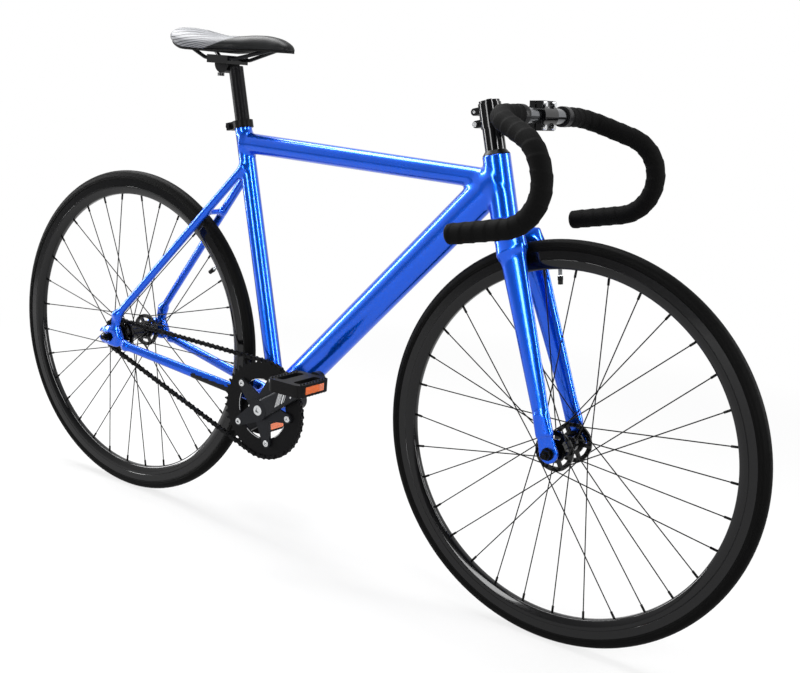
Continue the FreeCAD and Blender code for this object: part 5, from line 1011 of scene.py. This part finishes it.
# %% Plugs and bands
PLUG_SECTION = [(0.0, 4.0), (6.0, 3.8), (11.0, 3.1), (14.0, 1.9), (15.4, 0.4), (15.4, -0.6), (13.5, -0.6),
                (0.0, -0.6)]
BAND_SECTION = [(12.75, -0.5), (16.2, -0.5), (16.75, 0.0), (16.75, 13.5), (16.45, 14.0), (16.2, 14.0),
                (12.75, 14.0)]
PLUG_STEPS = 32
BAND_STEPS = 40
for name, hand in HANDS:
    mirror = numpy.array((1.0, hand, 1.0))
    first, end = BAR_CENTRE + tape_line[0] * mirror * MM, BAR_CENTRE + tape_line[-1] * mirror * MM
    way = unit((tape_line[-1] - tape_line[-2]) * mirror)
    plug = turned(name + "_bar_plug", PLUG_SECTION, end, way, SIDE, PLUG_STEPS)
    stands_for = ["bar_end_plugs"] if hand > 0 else []
    fit(plug, "moulded_black_nylon", "steering_body", "black_plastic", *stands_for)
    band = turned(name + "_finishing_band", BAND_SECTION, first, SIDE * hand, UP, BAND_STEPS)
    fit(band, "soft_black_vinyl", "steering_body", "black_plastic")
print("plugs and bands on both sides")

# %% [markdown]
# ## The saddle
# A narrow racing saddle: foam on a moulded base under a stretched vinyl skin, wide at the tail, waisted,
# with a long rounded nose. The skin is tight and has no slack folds, so it is shaped directly: a grid is
# wrapped round the sections, section by section, and a subdivision surface smooths it. The grid's own two
# directions are kept as a UV map, so that the panels and the thin stripes follow the shape.

# %% Saddle sections
# Shares of the length, and at each of them shares of the half width, of the crown and of the base's lift.
STATIONS = (0.0, 0.05, 0.14, 0.26, 0.40, 0.54, 0.68, 0.82, 0.93, 0.98, 1.0)
WIDTHS = (0.66, 0.88, 1.0, 0.96, 0.72, 0.45, 0.34, 0.29, 0.25, 0.18, 0.10)
CROWNS = (0.52, 0.80, 1.06, 0.98, 0.84, 0.78, 0.80, 0.74, 0.54, 0.34, 0.22)
BASES = (2.7, 1.6, 0.30, 0.0, 0.12, 0.40, 0.66, 0.80, 0.80, 0.75, 0.7)
SADDLE_HALF = 69.0
SADDLE_CROWN = 33.0
SADDLE_LIFT = 8.0
# Share of the crown towards which the tail and the nose are drawn in, and how much is left at their tips.
DRAWN_TO = 0.42
TIP_CROWN = 0.25
TIP_WIDTH = 0.55
# Half a section: share of the half width and of the crown, from the top's middle round to the base's.
RING = [(0.0, 1.0), (0.30, 0.985), (0.58, 0.90), (0.82, 0.70), (0.965, 0.46), (1.0, 0.28), (0.975, 0.10),
        (0.90, 0.0), (0.60, 0.0), (0.30, 0.0), (0.0, 0.0)]
SADDLE_LOW, SADDLE_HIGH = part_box("saddle_cover")
ALONG_STEPS = 60
TAIL_ROUND = 0.03
NOSE_ROUND = 0.03


def eased(share, table):
    """Value of a station table at a share of the length, eased between its rows."""
    place = numpy.searchsorted(STATIONS, share, side="right") - 1
    place = min(max(place, 0), len(STATIONS) - 2)
    slopes = numpy.gradient(numpy.array(table), numpy.array(STATIONS))
    gap = STATIONS[place + 1] - STATIONS[place]
    t = (share - STATIONS[place]) / gap
    return ((2 * t ** 3 - 3 * t ** 2 + 1) * table[place] + (t ** 3 - 2 * t ** 2 + t) * gap * slopes[place]
            + (3 * t ** 2 - 2 * t ** 3) * table[place + 1] + (t ** 3 - t ** 2) * gap * slopes[place + 1])


def saddle_point(share, row, sign):
    """Point of the saddle at a share of its length and a row of the section, on one side."""
    across, up = RING[row]
    end = min(share / TAIL_ROUND, (1 - share) / NOSE_ROUND, 1.0)
    draw = math.sqrt(max(1 - (1 - end) ** 2, 0.0))
    crown = SADDLE_CROWN * eased(share, CROWNS)
    low = SADDLE_LIFT * eased(share, BASES)
    height = low + crown * (DRAWN_TO + (up - DRAWN_TO) * (TIP_CROWN + (1 - TIP_CROWN) * draw))
    half = SADDLE_HALF * eased(share, WIDTHS) * (TIP_WIDTH + (1 - TIP_WIDTH) * draw)
    x = SADDLE_LOW.x + (SADDLE_HIGH.x - SADDLE_LOW.x) * share
    return Vector((x, sign * across * half * MM, SADDLE_LOW.z + height * MM))


print("saddle from", round(SADDLE_LOW.x, 3), "to", round(SADDLE_HIGH.x, 3))

# %% [markdown]
# The grid has one column for each step along the saddle and one row for each point round the section. The
# two edges that meet under the base are merged, and the small openings at the tail and nose are filled.

# %% Wrap the grid round the sections
ROWS = 2 * (len(RING) - 1)
SEAM_MERGE = 0.02 * MM
net = bmesh.new()
bmesh.ops.create_grid(net, x_segments=ALONG_STEPS, y_segments=ROWS, size=0.5, calc_uvs=False)
flow = net.loops.layers.uv.new("flow")
lookup = {}
for vert in net.verts:
    share = vert.co.x + 0.5
    place = round((vert.co.y + 0.5) * ROWS)
    lookup[vert.index] = (share, abs(place - ROWS // 2) / (len(RING) - 1))
    vert.co = saddle_point(share, abs(place - ROWS // 2), 1.0 if place >= ROWS // 2 else -1.0)
for face in net.faces:
    for loop in face.loops:
        loop[flow].uv = lookup[loop.vert.index]
bmesh.ops.remove_doubles(net, verts=net.verts, dist=SEAM_MERGE)
bmesh.ops.holes_fill(net, edges=[edge for edge in net.edges if edge.is_boundary], sides=0)
bmesh.ops.recalc_face_normals(net, faces=net.faces)
saddle_mesh = meshed("saddle_pad", net)
saddle_mesh.shade_smooth()
saddle_pad = shown("saddle_pad", saddle_mesh)
smooth = saddle_pad.modifiers.new("skin", "SUBSURF")
smooth.levels = 2
smooth.render_levels = 2
print("saddle pad", len(saddle_mesh.polygons), "faces before smoothing")

# %% [markdown]
# The skin is two vinyls sewn edge to edge: charcoal on the nose and along the lower sides, and white on the
# back of the seat, printed with thin grey stripes. The UV map says how far along and how far round the
# section a point is, and a few sums draw the seam and the stripes from it.

# %% Two-tone vinyl
# Embossed vinyl: a soft satin shine broken by a leather-like grain of about 1.2 mm.
VINYL_GRAIN = 1.2
VINYL_RELIEF = 0.08
tree, shader, place = blank("two_tone_saddle_vinyl", Specular_IOR_Level=0.14)
chart = add(tree, "SeparateXYZ", {0: add(tree, "UVMap", uv_map="flow")}).outputs
length, girth = chart["X"], chart["Y"]
# The white panel ends on a line that slopes back from the top of the waist to the foot of the side.
SEAM_TOP = 0.60
SEAM_SLOPE = 0.38
SEAM_BLUR = 0.004
FOOT = 0.69
seam = add(tree, "Math", {0: girth, 1: -SEAM_SLOPE, 2: SEAM_TOP}, operation="MULTIPLY_ADD")
behind = add(tree, "Math", {0: seam, 1: length}, operation="SUBTRACT")
above = add(tree, "Math", {0: FOOT, 1: girth}, operation="SUBTRACT")
inside = add(tree, "Math", {0: behind, 1: above}, operation="MINIMUM")
white = add(tree, "MapRange", {"Value": inside, "From Min": -SEAM_BLUR, "From Max": SEAM_BLUR})
# The stripes fan out from the waist and sink towards the tail.
STRIPES = 5.0
STRIPE_WIDTH = 0.26
FAN_POINT = SEAM_TOP + 0.06
TAIL_SINK = 4.0
TAIL_FROM = 0.25
tail_span = {"From Min": TAIL_FROM, "From Max": 0.0, "To Max": TAIL_FROM}
near_tail = add(tree, "MapRange", {"Value": length, **tail_span})
sink = add(tree, "Math", {0: near_tail, 1: near_tail}, operation="MULTIPLY")
sunk = add(tree, "Math", {0: sink, 1: -TAIL_SINK, 2: girth}, operation="MULTIPLY_ADD")
from_waist = add(tree, "Math", {0: FAN_POINT, 1: length}, operation="SUBTRACT")
fan = add(tree, "Math", {0: sunk, 1: from_waist}, operation="DIVIDE")
stripe_phase = add(tree, "Math", {0: fan, 1: STRIPES}, operation="MULTIPLY")
stripe_share = add(tree, "Math", {0: stripe_phase}, operation="FRACT")
stripe = add(tree, "Math", {0: stripe_share, 1: STRIPE_WIDTH}, operation="LESS_THAN")
# The white is set as a mid grey, because the overhead light is strong.
panel = add(tree, "Mix", {0: stripe, MIX_A: "#6e6f72", MIX_B: "#1c1d20"}, data_type="RGBA")
# Shares of the length between which the darker bumper of the tail begins.
BUMPER = (0.052, 0.044)
bumper = add(tree, "MapRange", {"Value": length, "From Min": BUMPER[0], "From Max": BUMPER[1]})
back = add(tree, "Mix", {0: bumper, MIX_A: panel, MIX_B: "#3a3b3e"}, data_type="RGBA")
skin = add(tree, "Mix", {0: white, MIX_A: "#08090a", MIX_B: back}, data_type="RGBA")
grain = add(tree, "TexVoronoi", {"Vector": place, "Scale": per_mm(VINYL_GRAIN)})
rough = add(tree, "MapRange", {"Value": grain, "To Min": 0.36, "To Max": 0.55})
relief = add(tree, "Bump", {"Height": grain, "Distance": VINYL_RELIEF * MM, "Strength": 0.4})
link(tree, shader, {"Base Color": skin, "Roughness": rough, "Normal": relief})
fit(saddle_pad, "two_tone_saddle_vinyl", "seat_body", "saddle_cover", "saddle_cover")
print("saddle vinyl striped and sewn")

# %% [markdown]
# The foam sits on a moulded nylon base that shows as a dark rim under the skin. It follows the pad's
# underside, so it is cut from the pad's own grid, let down by its thickness and closed back up to the pad.

# %% Moulded saddle base
BASE_THICKNESS = 3.0
net = bmesh.new()
net.from_mesh(saddle_mesh)
flow = net.loops.layers.uv["flow"]
upper = [face for face in net.faces if min(loop[flow].uv.y for loop in face.loops) < FOOT]
bmesh.ops.delete(net, geom=upper, context="FACES")
closed = bmesh.ops.extrude_face_region(net, geom=list(net.faces), use_keep_orig=True)["geom"]
for part in closed:
    if isinstance(part, bmesh.types.BMVert):
        part.co.z -= BASE_THICKNESS * MM
fit(finished("saddle_base", net), "moulded_black_nylon", "seat_body", "black_plastic", "saddle_shell")
print("saddle base", BASE_THICKNESS, "mm thick")

# %% [markdown]
# ## Pedal studs
# The pedal cages are moulded nylon with rows of small studs along both rails, above and below, which keep
# the shoe from slipping. They are few-sided cones, repeated along the rails.

# %% Studs on the pedal rails
STUD_ROWS = 9
STUD_INSET = 5.0
STUD_REACH = 66.0
STUD_HEIGHT = 2.4
STUD_FOOT = 2.4
STUD_TIP = 1.2
STUD_SIDES = 8
for name in ("right", "left"):
    low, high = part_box(name + "_pedal")
    centre = (low + high) / 2
    net = bmesh.new()
    for row in range(STUD_ROWS):
        across = centre.y + (row / (STUD_ROWS - 1) - 0.5) * STUD_REACH * MM
        for x in (low.x + STUD_INSET * MM, high.x - STUD_INSET * MM):
            for face, flip in ((high.z, 1.0), (low.z, -1.0)):
                place = Vector((x, across, face + flip * STUD_HEIGHT / 2 * MM))
                first, last = (STUD_FOOT, STUD_TIP) if flip > 0 else (STUD_TIP, STUD_FOOT)
                taper(net, STUD_SIDES, first, last, STUD_HEIGHT, Matrix.Translation(place))
    studs = finished(name + "_pedal_studs", net)
    fit(studs, "moulded_black_nylon", name + "_pedal_body", "black_plastic")
print(4 * STUD_ROWS, "studs on each pedal")

# %% [markdown]
# ## Bolts with sockets
# Chainring and crank bolts have round heads with a socket for the key. The CAD bolts give each head's place,
# radius and length, and a turned head with a hollow socket takes their place, so that the sockets are dark
# because light doesn't reach them.

# %% Turn the bolt heads
SOCKET_SHARE = 0.5
SOCKET_DEPTH = 2.4
HEAD_ROUND = 0.6
HEAD_STEPS = 24


def loose_parts(node):
    """Boxes of the separate solids in a CAD node."""
    net = cad_copy(node)
    boxes = []
    waiting = set(net.verts)
    while waiting:
        reached = [waiting.pop()]
        for vert in reached:
            linked = {edge.other_vert(vert) for edge in vert.link_edges} & waiting
            waiting -= linked
            reached.extend(linked)
        points = numpy.array([vert.co for vert in reached])
        boxes.append((points.min(axis=0), points.max(axis=0)))
    net.free()
    return boxes


def socket_head(radius, length):
    """Section of a bolt, outer face at zero, with a socket in its middle."""
    socket = radius * SOCKET_SHARE
    hollow = [(0.0, -SOCKET_DEPTH), (socket, -SOCKET_DEPTH), (socket, -HEAD_ROUND / 2)]
    return hollow + [(socket + HEAD_ROUND / 2, 0.0), (radius - HEAD_ROUND, 0.0), (radius, -HEAD_ROUND),
                     (radius, -length), (0.0, -length)]


def bolts_across(name, node):
    """Bolts that lie across the bike, with their heads away from the middle plane."""
    net = bmesh.new()
    for low, high in loose_parts(node):
        side = 1.0 if low[1] + high[1] > 0 else -1.0
        centre = (low + high) / 2
        centre[1] = high[1] if side > 0 else low[1]
        section = socket_head((high[0] - low[0]) / 2 / MM, (high[1] - low[1]) / MM)
        turn_into(net, section, centre, SIDE * side, UP, HEAD_STEPS)
    return finished(name, net)


for heads, node in (("chainring_bolt_heads", "chainring_bolts"), ("crank_bolt_heads", "crank_bolts")):
    fit(bolts_across(heads, node), "bright_zinc_plated_steel", "crank_body", "bright_bolts", node)
print("bolt heads turned")

# %% [markdown]
# ## Machined edges and stripes on the crank
# The windows between the spider's arms have a bright machined edge, and the right arm has slanted silver
# stripes: a plain generic pattern. The edges are short spun arcs, and the stripes are thin flat bars that
# stand a little proud of the arm, as a printed foil does.

# %% Window edges
WINDOW_EDGE = 57.6
WINDOW_SPAN = math.radians(34.0)
WINDOW_BAND = 0.9
WINDOW_STEPS = 12
# From a bolt to the middle of the window beside it.
HALF_ARM = math.radians(36.0)
ring_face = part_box("chainring")[0].y / MM
front, rear = ring_face - 0.2, ring_face + 0.3
inner, outer = WINDOW_EDGE, WINDOW_EDGE + WINDOW_BAND
net = bmesh.new()
for low, high in loose_parts("chainring_bolts"):
    toward = Vector(unit(((low + high) / 2 - BRACKET) * FLAT))
    first = Matrix.Rotation(HALF_ARM - WINDOW_SPAN / 2, 3, "Y") @ toward
    corners = []
    for reach, along in ((inner, front), (outer, front), (outer, rear), (inner, rear)):
        corners.append(net.verts.new(Vector(BRACKET) + (first * reach + Vector(SIDE) * along) * MM))
    face = net.faces.new(corners)
    bmesh.ops.spin(net, geom=[face, *face.edges, *face.verts], cent=Vector(BRACKET), axis=Vector(SIDE),
                   angle=WINDOW_SPAN, steps=WINDOW_STEPS)
fit(finished("window_edges", net), "bright_zinc_plated_steel", "crank_body", "bright_bolts")
print("five window edges")

# %% Stripes on the right arm
CRANK_ANGLE = math.radians(33.0)
ARM_LENGTH = 170.0
# Distance of the arm's face from the middle plane at the bracket and at the pedal.
ARM_FACE = (59.0, 75.0)
FOIL = 0.3
STRIPE_LEAN = math.radians(-52.0)
# Length of the stripes at the bracket and at the pedal.
STRIPE_LENGTHS = (36.0, 24.0)
FINE_STEP = 2.2
FINE_LINE = 0.8
# Distance along the arm and width of each stripe, in millimetres.
ARM_STRIPES = [(58.0 + FINE_STEP * line, FINE_LINE) for line in range(7)]
ARM_STRIPES += [(78.0, 3.0), (84.5, 1.0), (104.0, 3.0)]
ARM_STRIPES += [(111.0 + FINE_STEP * line, FINE_LINE) for line in range(6)]
arm = Vector((math.cos(CRANK_ANGLE), 0.0, math.sin(CRANK_ANGLE)))
slope = (arm * ARM_LENGTH - Vector(SIDE) * (ARM_FACE[1] - ARM_FACE[0])).normalized()
upright = Vector(SIDE).cross(slope).normalized()
outward = upright.cross(slope).normalized()
turn = Matrix((slope, outward, upright)).transposed().to_4x4() @ Matrix.Rotation(STRIPE_LEAN, 4, "Y")
net = bmesh.new()
for along, width in ARM_STRIPES:
    share = along / ARM_LENGTH
    face = ARM_FACE[0] + (ARM_FACE[1] - ARM_FACE[0]) * share
    centre = Vector(BRACKET) + (arm * along - Vector(SIDE) * face) * MM
    length = STRIPE_LENGTHS[0] + (STRIPE_LENGTHS[1] - STRIPE_LENGTHS[0]) * share
    size = Matrix.Diagonal((width * MM, FOIL * MM, length * MM, 1.0))
    bmesh.ops.create_cube(net, size=1.0, matrix=Matrix.Translation(centre) @ turn @ size)
fit(finished("arm_stripes", net), "bright_zinc_plated_steel", "crank_body", "bright_bolts")
print(len(ARM_STRIPES), "stripes on the arm")

# %% [markdown]
# ## Chain stay guard
# A patch of black film keeps the chain from chipping the paint of the right stay. It follows the stay's
# shape exactly, so it is cut from the frame's own skin and thickened outward.

# %% Cut the film from the frame's skin
# The film's ends along the stay, its reach, and how far its faces may turn up and from the right side.
GUARD_FROM = 80.0
GUARD_TO = 190.0
GUARD_TOP = 0.1
GUARD_SIDE = -0.25
GUARD_REACH = 16.0
GUARD_THICKNESS = 0.35
stay_start = STAYS[0][0] * MIRROR
stay_run = unit(STAYS[0][1] * MIRROR - stay_start)
net = bmesh.new()
net.from_mesh(painted_frame.data)
outside = []
for face in net.faces:
    offset = numpy.array(face.calc_center_median()) - stay_start
    along = offset @ stay_run / MM
    reach = numpy.linalg.norm(offset - stay_run * (offset @ stay_run)) / MM
    facing_out = face.normal.y < GUARD_SIDE and face.normal.z < GUARD_TOP
    if not (GUARD_FROM < along < GUARD_TO and reach < GUARD_REACH and facing_out):
        outside.append(face)
bmesh.ops.delete(net, geom=outside, context="FACES")
for vert in net.verts:
    vert.co += vert.normal * GUARD_THICKNESS * MM
bmesh.ops.solidify(net, geom=list(net.faces), thickness=GUARD_THICKNESS * MM)
fit(finished("chain_stay_guard", net), "soft_black_vinyl", "frame_body", "black_plastic")
print("guard film on the right chain stay")

# %% [markdown]
# ## Reflectors
# Each pedal has amber reflectors front and rear. They are clear acrylic over small prisms, which send light
# back.
# That returned light is painted into the colour as a fine lattice of brighter points, one at the middle of
# each prism.

# %% Amber prism acrylic
# Moulded acrylic over prisms of about 2.5 mm: deep amber, with a painted sparkle that is brightest at each
# prism's middle.
PRISM = 2.5
PRISM_RELIEF = 0.6
tree, shader, place = blank("amber_prism_acrylic", Roughness=0.12, Coat_Weight=1.0, Coat_Roughness=0.03)
prisms_and_painted_sparkle = add(tree, "TexVoronoi", {"Vector": place, "Scale": per_mm(PRISM), "Randomness": 0.0})
# Painted sparkle: the colour is brightest at each prism's middle and darker towards its edges; the same cells
# also give the prisms' relief.
tone = add(tree, "Mix", {0: prisms_and_painted_sparkle, MIX_A: "#d8640c", MIX_B: "#8c2604"}, data_type="RGBA")
facet = add(tree, "Bump", {"Height": prisms_and_painted_sparkle, "Distance": PRISM_RELIEF * MM})
link(tree, shader, {"Base Color": tone, "Normal": facet})
print("amber acrylic ready")

# %% [markdown]
# ## Stainless linings
# The track ends have thin stainless plates that the axle nuts bite on. Stainless sheet is brushed along its
# length, so its grain is drawn out by a Mapping node.

# %% Brushed stainless sheet
# Brushed stainless: a bright mirror drawn out into fine lines along the sheet.
BRUSH_LINE = 0.4
DRAWN_OUT = (0.06, 1.0, 1.0)
tree, shader, place = blank("brushed_stainless_sheet", Metallic=1.0)
drawn = add(tree, "Mapping", {"Vector": place, "Scale": DRAWN_OUT})
lines = add(tree, "TexNoise", {"Vector": drawn, "Scale": per_mm(BRUSH_LINE), "Detail": 2.0})
tone = add(tree, "Mix", {0: lines, MIX_A: "#a7a9ab", MIX_B: "#d5d6d7"}, data_type="RGBA")
rough = add(tree, "MapRange", {"Value": lines, "To Min": 0.22, "To Max": 0.42})
link(tree, shader, {"Base Color": tone, "Roughness": rough})
print("stainless sheet ready")

# %% [markdown]
# ## Finishes for the CAD pieces
# The remaining pieces have their true shape in the CAD model, so they keep it and only get their real
# finish. One table says which finish each node has.

# %% Give the CAD nodes their finishes
CAD_FINISHES = {
    "gloss_black_anodised_aluminium": ("headset_spacers", "stem", "stem_face_plate", "top_cap",
                                       "front_hub", "rear_hub", "saddle_clamp"),
    "polished_dark_aluminium": ("handlebar",),
    "matt_black_anodised_aluminium": ("seatpost", "seat_clamp", "chainring", "bottom_bracket_cups",
                                      "steerer"),
    "satin_graphite_forging": ("right_crank", "left_crank"),
    "bright_zinc_plated_steel": ("stem_bolts",),
    "ground_bearing_steel": ("spindle", "pedal_spindles", "rear_lockring"),
    "black_oxide_steel": ("headset_outer_races", "headset_inner_races", "headset_covers", "rear_axle",
                          "rear_axle_nuts", "front_axle", "front_axle_nuts", "front_spokes", "rear_spokes",
                          "rear_cog"),
    "blackened_chain_steel": ("chain_outer_links", "chain_inner_links"),
    "brushed_stainless_sheet": ("track_end_linings",),
    "gloss_black_rail_paint": ("saddle_rails",),
    "moulded_black_nylon": ("right_pedal", "left_pedal"),
    "amber_prism_acrylic": ("right_pedal_reflectors", "left_pedal_reflectors"),
    "butyl_rubber": ("front_inner_tube", "rear_inner_tube"),
}


def dress(node, finish):
    """Puts a finish into a CAD node's material slots."""
    for slot in frame["nodes"][node].material_slots:
        slot.material = FINISHES[finish]


for finish, nodes in CAD_FINISHES.items():
    for node in nodes:
        dress(node, finish)
print(sum(len(nodes) for nodes in CAD_FINISHES.values()), "CAD nodes keep their shape")
